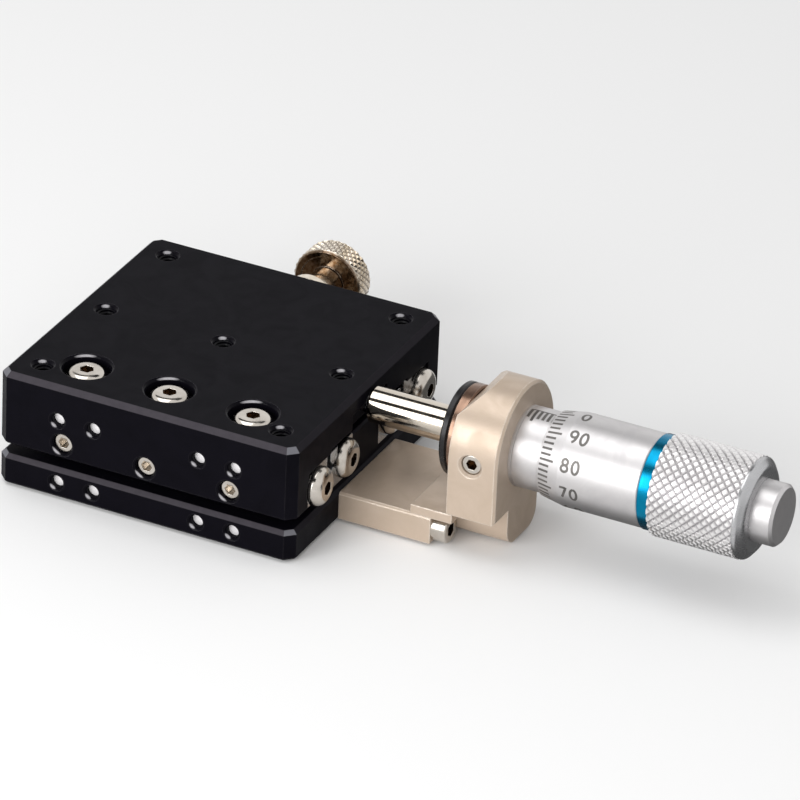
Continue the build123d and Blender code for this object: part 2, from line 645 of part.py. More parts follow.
def clamp_knob():
    """Knurled screw with a collar that presses on the clamp plate."""
    collar = CLAMP_FACE + CLAMP_PLAY
    shank = cylinder_y(SCREW_M4, OUTER_BACK + 0.8, collar, 0, CLAMP_HEIGHT)
    shank = chamfer(shank.edges().group_by(Axis.Y)[0], 0.4)
    neck = cylinder_y(NECK_RADIUS, collar, KNOB_START + 1.0, 0, CLAMP_HEIGHT)
    flange = cylinder_y(COLLAR_RADIUS, collar, collar + 2.0, 0, CLAMP_HEIGHT)
    flange = chamfer(flange.edges(), 0.3)
    head = cylinder_y(KNOB_RADIUS, KNOB_START, KNOB_START + KNOB_LENGTH, 0, CLAMP_HEIGHT)
    head = chamfer(head.edges(), 0.5)
    dish = cylinder_y(KNOB_RADIUS - 1.6, KNOB_START - 1, KNOB_START + 0.5, 0, CLAMP_HEIGHT)
    return (head - dish) + shank + neck + flange


def inner_rail_screws():
    """Cap screws that hold the inner rails on the base."""
    screw = cap_screw(SCREW_M3, SCREW_LENGTH, M3_HEAD, M3_HEAD_HEIGHT, 2.5)
    places = [(x, y) for x in RAIL_SCREW_X for y in (-INNER_HOLE_Y, INNER_HOLE_Y)]
    return [Pos(x, y, INNER_SEAT) * screw for x, y in places]


def rear_rail_screws():
    """Cap screws that hold the rear outer rail under the table."""
    length = STAGE_HEIGHT - 4.0 - REAR_SEAT
    screw = Rot(180, 0, 0) * cap_screw(SCREW_M3, length, M3_HEAD, M3_HEAD_HEIGHT, 2.5)
    return [Pos(x, OUTER_SCREW_Y, REAR_SEAT) * screw for x in RAIL_SCREW_X]


def top_screws():
    """Button head screws in the table's top that hold the front outer rail."""
    screw = button_screw(SCREW_M4, TOP_LENGTH, TOP_HEAD, TOP_HEAD_HEIGHT, 2.5)
    return [Pos(x, -OUTER_SCREW_Y, TOP_SEAT) * screw for x in RAIL_SCREW_X]


def preload_screws():
    """Set screws in the front side that push the front outer rail inward."""
    screw = set_screw(SCREW_M4, HALF - OUTER_BACK - PRELOAD_SINK, 2.0)
    return [facing_front(x, -HALF + PRELOAD_SINK, PRELOAD_HEIGHT) * screw for x in RAIL_SCREW_X]


def bracket_screws():
    """Long cap screws that hold the bracket's bar on the base's side."""
    screw = cap_screw(SCREW_M3, BAR_END - HALF + 6.5, M3_HEAD, M3_HEAD_HEIGHT, 2.5)
    return [facing_right(BAR_END, y, BRACKET_SCREW_Z) * screw for y in (-BRACKET_SCREW_Y, BRACKET_SCREW_Y)]


def clamp_plate_screws():
    """Cap screws that hold the clamp plate on the base."""
    screw = cap_screw(SCREW_M3, CLAMP_FACE - HALF + 5.5, M3_HEAD, M3_HEAD_HEIGHT, 2.5)
    return [facing_rear(x, CLAMP_FACE, BASE_PLATE / 2) * screw for x in (-CLAMP_SCREW_X, CLAMP_SCREW_X)]


def save(name, solids):
    """Write one node as a STEP file."""
    shape = solids[0] if len(solids) == 1 else Compound(children=solids)
    export_step(shape, f"parts/{name}.step")


def main():
    """Build and write every node."""
    os.makedirs("parts", exist_ok=True)
    sleeve_start = BRACKET_END + SHOULDER
    nut_start = BRACKET_START - NUT_LENGTH
    adjuster_end = ADJUSTER_START + ADJUSTER_LENGTH
    nodes = {
        "base_plate": [base_plate()],
        "table_plate": [table_plate()],
        "anvil": [anvil()],
        "return_spring": [return_spring()],
        "base_spring_pin": [spring_pin(SPRING_PIN_X, BASE_PLATE - PIN_SEAT, RAIL_TOP - 1.2)],
        "table_spring_pin": [spring_pin(-SPRING_PIN_X, RAIL_BOTTOM + 0.6, STAGE_HEIGHT - PIN_SEAT)],
        "bracket": [bracket()],
        "stem_set_screw": [stem_set_screw()],
        "micrometer_stem": [micrometer_stem()],
        "scale_sleeve": [ring_x(SLEEVE_BORE, SLEEVE_RADIUS, sleeve_start, TAIL_START, 0.1)],
        "adjusting_nut": [ring_x(TAIL_RADIUS + SLIP, SLEEVE_BORE + 0.5, ADJUSTER_START, adjuster_end, 0.3)],
        "stem_nut": [ring_x(STEM_RADIUS + SLIP, NUT_RADIUS, nut_start, BRACKET_START, 0.3)],
        "stem_lock_ring": [ring_x(STEM_RADIUS + SLIP, NUT_RADIUS, nut_start - LOCK_LENGTH, nut_start, 0.3)],
        "spindle": [spindle()],
        "thimble": [thimble()],
        "thimble_ring": [ring_x(CORE_RADIUS + SLIP, THIMBLE_RADIUS + 0.15, RING_START, GRIP_START, 0.15)],
        "thimble_grip": [grip()],
        "thimble_cap": [thimble_cap()],
        "clamp_plate": [clamp_plate()],
        "clamp_knob": [clamp_knob()],
        "inner_rail_screws": inner_rail_screws(),
        "rear_rail_screws": rear_rail_screws(),
        "top_screws": top_screws(),
        "preload_screws": preload_screws(),
        "inner_end_screws": end_screws((-INNER_SCREW_Y, INNER_SCREW_Y), 0),
        "outer_end_screws": end_screws((-OUTER_SCREW_Y, OUTER_SCREW_Y), WASHER_THICKNESS),
        "end_washers": end_washers(),
        "bracket_screws": bracket_screws(),
        "clamp_plate_screws": clamp_plate_screws(),
    }
    for side, name in ((-1, "front"), (1, "rear")):
        nodes[f"inner_rail_{name}"] = [inner_rail(side)]
        nodes[f"outer_rail_{name}"] = [outer_rail(side)]
        nodes[f"cage_{name}"] = [cage(side)]
        nodes[f"rollers_{name}"] = rollers(side)
    for name, solids in nodes.items():
        save(name, solids)


main()
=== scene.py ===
"""Looks of a linear stage with crossed roller rails and a micrometer drive.

Lengths inside the classes are millimetres and leave for Blender in metres. The
origin is the centre of the base's bottom face, X runs along the micrometer,
the front is -Y and Z is up.
"""

import logging
import math
from dataclasses import dataclass, field, replace
from enum import Enum
from typing import Optional, Sequence

import bpy
import numpy as np
from mathutils import Matrix, Vector


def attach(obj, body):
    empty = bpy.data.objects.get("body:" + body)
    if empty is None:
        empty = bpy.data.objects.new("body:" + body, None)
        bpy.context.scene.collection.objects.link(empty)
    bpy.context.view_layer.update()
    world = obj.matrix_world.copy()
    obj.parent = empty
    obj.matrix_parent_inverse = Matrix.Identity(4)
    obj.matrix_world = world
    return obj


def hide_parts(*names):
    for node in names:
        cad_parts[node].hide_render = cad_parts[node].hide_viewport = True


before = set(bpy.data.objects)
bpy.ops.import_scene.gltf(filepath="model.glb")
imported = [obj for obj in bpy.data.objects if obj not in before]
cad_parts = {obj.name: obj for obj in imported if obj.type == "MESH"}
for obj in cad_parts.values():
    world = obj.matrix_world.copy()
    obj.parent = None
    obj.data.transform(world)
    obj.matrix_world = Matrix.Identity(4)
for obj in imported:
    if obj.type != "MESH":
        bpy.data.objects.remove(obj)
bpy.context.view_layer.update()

LOG = logging.getLogger("stage")
MM = 0.001
AXIS_HEIGHT = 19.25
CURVE_SHARE = 0.45       # most of an edge's length that a rounded corner takes
GUARD_SHARE = 0.48       # the same for the points that guard its shading
GUARD = 0.03             # from a rounded corner to the point that guards it
SMUDGE_SCALE = 140.0
FLOAT, VECTOR = "NodeSocketFloat", "NodeSocketVector"

Colour = tuple[float, float, float]
Place = tuple[float, float, float]
Array = np.ndarray
Socket = bpy.types.NodeSocket
Sockets = dict[str, Socket]
Tree = bpy.types.NodeTree


class Way(Enum):
    """The line that a turned piece is turned about."""

    ALONG_X = "x"
    ALONG_Y = "y"
    ALONG_Z = "z"


class Body(Enum):
    """The moving bodies that pieces ride on."""

    BASE = "base_unit"
    TABLE = "table_unit"
    THIMBLE = "thimble_unit"
    CLAMP = "clamp_knob_unit"


# Surfaces


@dataclass
class Shell:
    """A mesh that grows from grids of points, with its faces kept as whole arrays."""

    name: str
    points: list[Array] = field(default_factory=list)
    quads: list[Array] = field(default_factory=list)
    triangles: list[Array] = field(default_factory=list)
    count: int = 0

    def add_points(self, points: Array) -> int:
        """Store points.

        Args:
            points: Array of (n, 3) places in millimetres.

        Returns:
            The index of the first point.
        """
        first = self.count
        places = points.reshape(-1, 3)
        self.points.append(places)
        self.count += len(places)
        return first

    def add_grid(self, grid: Array, wrap_rows: bool = False, wrap_columns: bool = False) -> int:
        """Add a surface given at the crossings of two parameters.

        Each cell between neighbours (i, j), (i, j+1), (i+1, j+1) and (i+1, j) is one quad. A
        parameter that wraps joins its last line to its first.

        Args:
            grid: Array of (rows, columns, 3) places.
            wrap_rows: The last row meets the first.
            wrap_columns: The last column meets the first.

        Returns:
            The index of the grid's first point.
        """
        rows, columns = grid.shape[:2]
        first = self.add_points(grid)
        index = first + np.arange(rows * columns).reshape(rows, columns)
        if wrap_rows:
            index = np.concatenate([index, index[:1]], axis=0)
        if wrap_columns:
            index = np.concatenate([index, index[:, :1]], axis=1)
        cells = [index[:-1, :-1], index[:-1, 1:], index[1:, 1:], index[1:, :-1]]
        self.quads.append(np.stack([c.ravel() for c in cells], axis=1))
        return first

    def add_fan(self, ring: Array, centre: Array, flip: bool) -> None:
        """Close a ring of point indices with triangles to one centre.

        Args:
            ring: Indices of the ring's points in order.
            centre: The place of the centre.
            flip: Turn the triangles round.
        """
        tip = self.add_points(centre.reshape(1, 3))
        ahead = np.roll(ring, -1)
        tips = np.full(ring.shape, tip)
        order = [ahead, ring, tips] if flip else [ring, ahead, tips]
        self.triangles.append(np.stack(order, axis=1))

    def build(self, body: Body, sharp: float = 20.0) -> bpy.types.Object:
        """Make the object, with its normals outward and sharp edges past an angle.

        Args:
            body: The moving body that it rides on.
            sharp: Angle in degrees past which an edge stays sharp.

        Returns:
            The new object.
        """
        places = np.concatenate(self.points) * MM
        faces: list[Sequence[int]] = []
        for group in self.quads + self.triangles:
            faces.extend(group.tolist())
        mesh = bpy.data.meshes.new(self.name)
        mesh.from_pydata(places.tolist(), [], faces)
        mesh.validate()
        mesh.polygons.foreach_set("use_smooth", np.ones(len(mesh.polygons), dtype=bool))
        mesh.set_sharp_from_angle(angle=math.radians(sharp))
        mesh.update()
        made = bpy.data.objects.new(self.name, mesh)
        bpy.context.scene.collection.objects.link(made)
        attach(made, body.value)
        LOG.info("%s: %d faces", self.name, len(mesh.polygons))
        return made


@dataclass(frozen=True)
class Turning:
    """Places round a turning axis."""

    way: Way = Way.ALONG_X
    centre: Place = (0.0, 0.0, AXIS_HEIGHT)

    def place(self, along: Array, radius: Array, angle: Array) -> Array:
        """Points at a distance along the axis, a radius and an angle.

        Angle 0 faces the front for an axis along X, and grows upward. For an axis along Y it
        faces +X and grows upward. For an upright axis it faces +X and grows toward +Y.

        Args:
            along: Distance along the axis.
            radius: Distance from the axis.
            angle: Angle in radians.

        Returns:
            Array of points, with the inputs' common shape and a last side of 3.
        """
        along, radius, angle = np.broadcast_arrays(along, radius, angle)
        near, up = radius * np.cos(angle), radius * np.sin(angle)
        if self.way is Way.ALONG_X:
            parts = (along, -near, up)
        elif self.way is Way.ALONG_Y:
            parts = (near, along, up)
        else:
            parts = (near, up, along)
        return np.stack(parts, axis=-1) + np.array(self.centre)

    @property
    def corner(self) -> float:
        """Angle of the first corner of a hexagon about this axis."""
        return math.pi / 6 if self.way is Way.ALONG_X else 0.0


def turned_shell(shell: Shell, turning: Turning, profile: Array, steps: int = 160,
                 start: float = 0.0, radii: Optional[Array] = None) -> None:
    """Carry a profile round an axis.

    The surface at row i and angle t is the profile's place i at its radius, turned by t. A
    profile that starts or ends on the axis is closed there with a fan, and any other profile
    is a loop whose last row meets its first.

    Args:
        shell: The mesh that gets the surface.
        turning: The axis.
        profile: Array of (n, 2) places along the axis and radii, in the order that faces out.
        steps: Number of columns round the axis.
        start: Angle in radians of the first column.
        radii: Radius of each row off the axis at each column, where it isn't the profile's.
    """
    angle = start + np.linspace(0, 2 * np.pi, steps, endpoint=False)
    low, high = profile[0, 1] == 0, profile[-1, 1] == 0
    rows = profile[1 if low else 0 : -1 if high else None]
    grid = turning.place(rows[:, :1], rows[:, 1:] if radii is None else radii, angle[None, :])
    if turning.way is not Way.ALONG_X:
        grid = grid[:, ::-1]
    first = shell.add_grid(grid, wrap_rows=not (low or high), wrap_columns=True)
    ring, zero = first + np.arange(steps), np.array(0.0)
    if low:
        shell.add_fan(ring, turning.place(profile[0, 0], zero, zero), flip=False)
    if high:
        last = ring + (len(rows) - 1) * steps
        shell.add_fan(last, turning.place(profile[-1, 0], zero, zero), flip=True)


def rounded(points: Sequence[tuple[float, float, float]], steps: int = 5) -> Array:
    """A profile whose corners are rounded.

    Each corner of radius r is replaced by a quadratic curve from the point r before it to the
    point r after it, or to a share of the way where the next corner is near. A further point
    just outside each end keeps the flat parts' shading flat.

    Args:
        points: Places along, radii and corner radii.
        steps: Points on each curve.

    Returns:
        Array of (n, 2) places and radii.
    """
    data = np.array(points, dtype=float)
    out: list[Array] = []
    share = np.linspace(0, 1, steps)[:, None]
    for i, (here, size) in enumerate(zip(data[:, :2], data[:, 2])):
        if size == 0 or i in (0, len(data) - 1):
            out.append(here[None])
            continue
        back, ahead = data[i - 1, :2] - here, data[i + 1, :2] - here
        start, end = (here + way * min(CURVE_SHARE, size / np.linalg.norm(way))
                      for way in (back, ahead))
        before, after = (here + way * min(GUARD_SHARE, (size + GUARD) / np.linalg.norm(way))
                         for way in (back, ahead))
        curve = (1 - share) ** 2 * start + 2 * share * (1 - share) * here + share**2 * end
        out.append(np.concatenate([before[None], curve, after[None]]))
    return np.concatenate(out)


@dataclass(frozen=True)
class Knurl:
    """Diamond knurl: two families of grooves that cross on a turned surface."""

    radius: float
    depth: float
    starts: int
    pitch: float
    begin: float
    end: float
    flat: float = 0.72
    fine: int = 4

    def add(self, shell: Shell, turning: Turning, inner: float) -> None:
        """Add the knurled band with its two rims.

        With a = N t + x / L and b = N t - x / L, both in turns, the height is the smaller of the
        two triangle waves of a and b, cut off at a share of its peak. Cells are split along the
        grooves, so that each groove is a crisp line.

        Args:
            shell: The mesh that gets the band.
            turning: The axis.
            inner: Radius down to which the rims reach.
        """
        cells = max(2, round((self.end - self.begin) / (self.pitch / 2)))
        rows = np.arange(cells * self.fine + 1)
        columns = np.arange(2 * self.starts * self.fine)
        across = rows[:, None] / (2 * self.fine)
        around = columns[None, :] / (2 * self.fine)
        first, second = around + across, around - across
        wave = np.minimum(self.tooth(first), self.tooth(second))
        height = np.minimum(wave, self.flat) / self.flat
        radius = self.radius - self.depth * (1 - height)
        along = self.begin + (self.end - self.begin) * rows[:, None] / rows[-1]
        angle = 2 * np.pi * columns[None, :] / columns.size
        grid = turning.place(along, radius, angle)
        base = shell.add_points(grid)
        index = base + np.arange(grid.shape[0] * columns.size).reshape(grid.shape[0], columns.size)
        index = np.concatenate([index, index[:, :1]], axis=1)
        low, right = index[:-1, :-1], index[:-1, 1:]
        far, up = index[1:, 1:], index[1:, :-1]
        parity = (rows[:-1, None] // self.fine + columns[None, :] // self.fine) % 2 == 0
        parity = parity[..., None]
        one = np.where(parity, np.stack([low, right, far], -1), np.stack([low, right, up], -1))
        two = np.where(parity, np.stack([low, far, up], -1), np.stack([right, far, up], -1))
        faces = np.concatenate([one.reshape(-1, 3), two.reshape(-1, 3)])
        if turning.way is not Way.ALONG_X:
            faces = faces[:, ::-1]
        shell.triangles.append(faces)
        for row, place in ((0, self.begin), (-1, self.end)):
            rim = np.stack([index[row, :-1], np.roll(index[row, :-1], -1)], axis=1)
            bottom = shell.add_points(turning.place(np.array(place), np.array(inner), angle[0]))
            foot = bottom + np.arange(columns.size)
            feet = np.stack([np.roll(foot, -1), foot], axis=1)
            face = np.concatenate([rim[:, ::-1], feet[:, ::-1]], axis=1)
            swap = (row == 0) == (turning.way is Way.ALONG_X)
            shell.quads.append(face if swap else face[:, ::-1])

    @staticmethod
    def tooth(phase: Array) -> Array:
        """Triangle wave from 0 at whole turns to 1 halfway between them."""
        return 1 - np.abs(2 * (phase - np.floor(phase)) - 1)


# Line figures for dials


class Figures:
    """Digits drawn with strokes in a box 0.6 wide and 1 high, from its centre."""

    BOX_WIDTH = 0.6

    @staticmethod
    def arc(cx: float, cy: float, rx: float, ry: float, start: float, end: float,
            steps: int = 14) -> Array:
        """Points on part of an ellipse, with angles in degrees."""
        t = np.radians(np.linspace(start, end, steps))
        return np.stack([cx + rx * np.cos(t), cy + ry * np.sin(t)], axis=1)

    @classmethod
    def strokes(cls, digit: str) -> list[Array]:
        """The strokes of one digit.

        Args:
            digit: A character from 0 to 9.

        Returns:
            Lines of points, each (n, 2).
        """
        arc, line, join = cls.arc, np.array, np.concatenate
        table = {
            "0": [arc(0, 0, 0.28, 0.5, 90, 450, 25)],
            "1": [line([[-0.14, 0.3], [0.05, 0.5], [0.05, -0.5]])],
            "2": [join([arc(0, 0.23, 0.27, 0.27, 160, -35), line([[-0.28, -0.5], [0.29, -0.5]])])],
            "3": [arc(-0.02, 0.25, 0.27, 0.25, 150, -90), arc(-0.02, -0.25, 0.3, 0.25, 90, -150)],
            "4": [line([[0.12, -0.5], [0.12, 0.5], [-0.29, -0.18], [0.29, -0.18]])],
            "5": [join([line([[0.26, 0.5], [-0.2, 0.5], [-0.24, 0.06]]),
                        arc(-0.02, -0.19, 0.29, 0.31, 120, -150)])],
            "6": [arc(0, -0.22, 0.28, 0.28, 90, 450, 21),
                  arc(0.12, -0.18, 0.4, 0.68, 105, 178, 12)],
            "7": [line([[-0.28, 0.5], [0.28, 0.5], [-0.08, -0.5]])],
            "8": [arc(0, 0.26, 0.23, 0.24, -90, 270, 21), arc(0, -0.24, 0.28, 0.26, 90, 450, 21)],
            "9": [arc(0, 0.22, 0.28, 0.28, 270, -90, 21), arc(-0.12, 0.18, 0.4, 0.68, -75, -2, 12)],
        }
        return table[digit]


@dataclass(frozen=True)
class Inlay:
    """Filled marks laid on a turned surface of a given profile."""

    turning: Turning
    places: tuple[float, ...]
    radii: tuple[float, ...]
    lift: float = 0.012
    sink: float = 0.03

    def ribbon(self, shell: Shell, line: Array, width: float, step: float = 0.35) -> None:
        """Lay a stroke of one width on the surface.

        The stroke's line is resampled, its left and right sides are the line moved by half the
        width along the mean normal of its two neighbours, and each side point takes the
        surface's radius at its place plus the lift above it or less the sink below it.

        Args:
            shell: The mesh that gets the stroke.
            line: Points of (n, 2): place along the axis and arc length round it.
            width: Width of the stroke.
            step: Longest straight piece of the stroke.
        """
        gaps = np.linalg.norm(np.diff(line, axis=0), axis=1)
        sums = np.concatenate([[0], np.cumsum(gaps)])
        extra = np.linspace(0, sums[-1], max(2, int(sums[-1] / step) + 2))
        marks = np.unique(np.round(np.concatenate([sums, extra]), 4))
        path = np.stack([np.interp(marks, sums, line[:, k]) for k in (0, 1)], axis=1)
        heading = np.gradient(path, axis=0)
        heading /= np.linalg.norm(heading, axis=1, keepdims=True)
        side = np.stack([-heading[:, 1], heading[:, 0]], axis=1) * width / 2
        cross = np.stack([path + side, path - side, path - side, path + side], axis=1)
        radius = np.interp(cross[..., 0], self.places, self.radii)
        lift = np.array([self.lift, self.lift, -self.sink, -self.sink])
        grid = self.turning.place(cross[..., 0], radius + lift, cross[..., 1] / self.radii[-1])
        first = shell.add_grid(grid, wrap_columns=True)
        end = first + (len(path) - 1) * 4
        shell.quads.append(np.array([[first + 3, first + 2, first + 1, first]]))
        shell.quads.append(np.array([[end, end + 1, end + 2, end + 3]]))

    def word(self, shell: Shell, text: str, centre: tuple[float, float], size: tuple[float, float],
             gap: float, width: float) -> None:
        """Lay a number on the surface, read along the axis.

        Args:
            shell: The mesh that gets the number.
            text: Digits.
            centre: Its middle: place along the axis and arc length round it.
            size: Width and height of a digit.
            gap: Distance between the middles of neighbouring digits.
            width: Width of the strokes.
        """
        for k, digit in enumerate(text):
            shift = (k - (len(text) - 1) / 2) * gap
            for stroke in Figures.strokes(digit):
                scaled = stroke * np.array([size[0] / Figures.BOX_WIDTH, size[1]])
                middle = np.array([centre[0] + shift, centre[1]])
                self.ribbon(shell, scaled + middle, width, step=0.6)


# Nodes of materials


class Graph:
    """Places and links nodes in one node tree."""

    def __init__(self, tree: Tree) -> None:
        """Start from an empty tree."""
        self.tree = tree
        self.nodes = tree.nodes
        self.nodes.clear()

    def add(self, kind: str, inputs: Optional[dict[str, object]] = None,
            **settings: object) -> bpy.types.Node:
        """Add a node.

        Args:
            kind: The node's type name.
            inputs: Values or sockets for its inputs.
            settings: Properties of the node.

        Returns:
            The node.
        """
        node = self.nodes.new(kind)
        for key, value in settings.items():
            setattr(node, key, value)
        for key, value in (inputs or {}).items():
            self.feed(node.inputs[key], value)
        return node

    def feed(self, socket: Socket, value: object) -> None:
        """Link a socket to another one, or set its value. Colours have three numbers."""
        if isinstance(value, Socket):
            self.tree.links.new(value, socket)
        elif socket.type == "RGBA":
            socket.default_value = (*value, 1.0)
        else:
            socket.default_value = value

    def principled(self, inputs: dict[str, object]) -> bpy.types.Node:
        """A material's shader, linked to its output."""
        out = self.add("ShaderNodeOutputMaterial")
        shader = self.add("ShaderNodeBsdfPrincipled", inputs)
        self.feed(out.inputs["Surface"], shader.outputs["BSDF"])
        return shader

    def maths(self, operation: str, a: object, b: object = 0.0, clamp: bool = False) -> Socket:
        """The result of a maths node."""
        node = self.add("ShaderNodeMath", operation=operation, use_clamp=clamp)
        for socket, value in zip(node.inputs, (a, b)):
            self.feed(socket, value)
        return node.outputs[0]

    def times(self, a: object, b: object, clamp: bool = False) -> Socket:
        """The product of two values."""
        return self.maths("MULTIPLY", a, b, clamp)

    def vector(self, operation: str, a: object, b: object = (0.0, 0.0, 0.0)) -> bpy.types.Node:
        """A vector maths node."""
        node = self.add("ShaderNodeVectorMath", operation=operation)
        self.feed(node.inputs[0], a)
        self.feed(node.inputs[1], b)
        return node

    def radius(self, parts: bpy.types.Node) -> Socket:
        """Distance from the local X axis, from a place's separated parts."""
        inputs = {"X": 0.0, "Y": parts.outputs["Y"], "Z": parts.outputs["Z"]}
        across = self.add("ShaderNodeCombineXYZ", inputs)
        return self.vector("LENGTH", across.outputs["Vector"]).outputs["Value"]

    def noise(self, place: object, scale: object, detail: float = 3.0,
              rough: float = 0.55) -> Socket:
        """The value of a noise texture."""
        inputs = {"Vector": place, "Scale": scale, "Detail": detail, "Roughness": rough}
        return self.add("ShaderNodeTexNoise", inputs).outputs["Fac"]

    def span(self, value: object, low: object, high: object, start: float = 0.0,
             end: float = 1.0) -> Socket:
        """A value carried from one span to another, and held at its ends."""
        inputs = {"Value": value, "From Min": low, "From Max": high, "To Min": start, "To Max": end}
        return self.add("ShaderNodeMapRange", inputs, clamp=True).outputs["Result"]

    def blend(self, share: object, a: object, b: object) -> Socket:
        """A colour between two colours."""
        inputs = {"Factor": share, "A": a, "B": b}
        return self.add("ShaderNodeMix", inputs, data_type="RGBA").outputs["Result"]


PLACE = ("Vector", VECTOR, 0)


class Effects:
    """Shader node groups shared by the finishes, each built once.

    A group's maker gets its graph and its inputs' sockets, and returns its outputs by name.
    """

    INPUTS = {
        "edge_wear_and_highlight": [PLACE, ("Radius", FLOAT, 0.0002), ("Grain", FLOAT, 900.0)],
        "chamfer_highlight": [],
        "painted_highlight_facing": [("Direction", VECTOR, 0)],
        "groove_shade": [PLACE, ("Inner", FLOAT, 0.0095), ("Outer", FLOAT, 0.0099),
                         ("Low", FLOAT, 0.0), ("High", FLOAT, 1.0)],
        "fine_grain": [PLACE, ("Scale", FLOAT, 5000.0)],
        "turned_lines": [PLACE, ("Scale", FLOAT, 6000.0)],
        "brushed_lines": [PLACE, ("Scale", FLOAT, 5000.0)],
        "smudges": [PLACE, ("Scale", FLOAT, 120.0)],
    }
    made: dict[str, Tree] = {}

    @classmethod
    def group(cls, name: str) -> Tree:
        """The group of that name, built on its first use."""
        if name in cls.made:
            return cls.made[name]
        tree = bpy.data.node_groups.new(name.replace("_", " "), "ShaderNodeTree")
        for label, kind, value in cls.INPUTS[name]:
            socket = tree.interface.new_socket(label, in_out="INPUT", socket_type=kind)
            if kind == FLOAT:
                socket.default_value = value
        graph = Graph(tree)
        results = getattr(cls, name)(graph, graph.add("NodeGroupInput").outputs)
        for label in results:
            kind = VECTOR if label == "Normal" else FLOAT
            tree.interface.new_socket(label, in_out="OUTPUT", socket_type=kind)
        graph.add("NodeGroupOutput", results)
        cls.made[name] = tree
        return tree

    @staticmethod
    def edge_wear_and_highlight(graph: Graph, given: Sockets) -> Sockets:
        """Softened edges, lightened as wear and as painted highlight: how far the rounded normal
        turns from the flat one, broken by noise.
        """
        soft = graph.add("ShaderNodeBevel", {"Radius": given["Radius"]}, samples=4)
        soft = soft.outputs["Normal"]
        flat = graph.add("ShaderNodeNewGeometry").outputs["Normal"]
        turn = graph.vector("DOT_PRODUCT", soft, flat).outputs["Value"]
        grain = graph.noise(given["Vector"], given["Grain"], 4.0, 0.6)
        worn = graph.span(grain, 0.3, 0.62, 0.25, 1.0)
        mask = graph.times(graph.span(turn, 0.995, 0.86), worn, clamp=True)
        return {"Mask": mask, "Normal": soft}

    @staticmethod
    def chamfer_highlight(graph: Graph, given: Sockets) -> Sockets:
        """Painted highlight on faces that lean 45 degrees upward, by their flat normal, broken by
        noise.

        The rim is 1 where the normal's Z is near 0.7, and less where it faces +X. The corner is
        1 where such a face leans along both X and Y.
        """
        flat = graph.add("ShaderNodeNewGeometry").outputs["True Normal"]
        parts = graph.add("ShaderNodeSeparateXYZ", {"Vector": flat}).outputs
        away = graph.maths("ABSOLUTE", graph.maths("SUBTRACT", parts["Z"], 0.68))
        near = graph.span(away, 0.12, 0.16, 1.0, 0.0)
        where = graph.add("ShaderNodeTexCoord").outputs["Object"]
        grain = graph.span(graph.noise(where, 700.0, 4.0, 0.65), 0.3, 0.7, 0.82, 1.0)
        right = graph.span(parts["X"], 0.55, 0.62, 1.0, 0.25)
        both = graph.maths("ABSOLUTE", graph.times(parts["X"], parts["Y"]))
        rim = graph.times(graph.times(near, grain), right, clamp=True)
        return {"Rim": rim, "Corner": graph.times(graph.span(both, 0.1, 0.18), near, clamp=True)}

    @staticmethod
    def painted_highlight_facing(graph: Graph, given: Sockets) -> Sockets:
        """Painted highlight on one side: 1 where the normal lies within 10 degrees of a direction.
        """
        normal = graph.add("ShaderNodeNewGeometry").outputs["Normal"]
        along = graph.vector("DOT_PRODUCT", normal, given["Direction"]).outputs["Value"]
        where = graph.add("ShaderNodeTexCoord").outputs["Object"]
        grain = graph.span(graph.noise(where, 2500.0, 3.0, 0.6), 0.25, 0.6, 0.75, 1.0)
        return {"Mask": graph.times(graph.span(along, 0.925, 0.985), grain, clamp=True)}

    @staticmethod
    def groove_shade(graph: Graph, given: Sockets) -> Sockets:
        """Painted shade in a knurl's grooves: 1 at the inner radius about local X, 0 at the outer
        one.

        Only the part between two places along the axis counts.
        """
        parts = graph.add("ShaderNodeSeparateXYZ", {"Vector": given["Vector"]})
        deep = graph.span(graph.radius(parts), given["Inner"], given["Outer"], 1.0, 0.0)
        grain = graph.span(graph.noise(given["Vector"], 1600.0, 2.0, 0.5), 0.3, 0.7, 0.8, 1.0)
        above = graph.maths("GREATER_THAN", parts.outputs["X"], given["Low"])
        below = graph.maths("LESS_THAN", parts.outputs["X"], given["High"])
        inside = graph.times(above, below)
        return {"Mask": graph.times(graph.times(deep, grain), inside, clamp=True)}

    @staticmethod
    def fine_grain(graph: Graph, given: Sockets) -> Sockets:
        """Small even grain of a blasted or etched surface, in two sizes."""
        small = graph.noise(given["Vector"], given["Scale"], 2.0, 0.5)
        coarse = graph.noise(given["Vector"], graph.times(given["Scale"], 0.23), 2.0, 0.5)
        return {"Value": graph.maths("ADD", graph.times(small, 0.7), graph.times(coarse, 0.3))}

    @staticmethod
    def turned_lines(graph: Graph, given: Sockets) -> Sockets:
        """Tool lines of a lathe about the local X axis, from noise on place and radius alone."""
        parts = graph.add("ShaderNodeSeparateXYZ", {"Vector": given["Vector"]})
        inputs = {"X": parts.outputs["X"], "Y": graph.radius(parts), "Z": 0.0}
        place = graph.add("ShaderNodeCombineXYZ", inputs).outputs["Vector"]
        fine = graph.noise(place, given["Scale"], 3.0, 0.7)
        wide = graph.noise(place, graph.times(given["Scale"], 0.14), 2.0, 0.5)
        return {"Value": graph.maths("ADD", graph.times(fine, 0.65), graph.times(wide, 0.35))}

    @staticmethod
    def brushed_lines(graph: Graph, given: Sockets) -> Sockets:
        """Grinding lines along the local X axis, from noise drawn out along it."""
        drawn = graph.vector("MULTIPLY", given["Vector"], (0.03, 1.0, 1.0)).outputs["Vector"]
        return {"Value": graph.noise(drawn, given["Scale"], 4.0, 0.65)}

    @staticmethod
    def smudges(graph: Graph, given: Sockets) -> Sockets:
        """Soft patches of handling, from wide noise with a warped place."""
        inputs = {"Vector": given["Vector"], "Scale": given["Scale"], "Detail": 5.0,
                  "Roughness": 0.6, "Distortion": 1.2}
        wide = graph.add("ShaderNodeTexNoise", inputs).outputs["Fac"]
        return {"Value": graph.span(wide, 0.38, 0.66)}


# Finishes


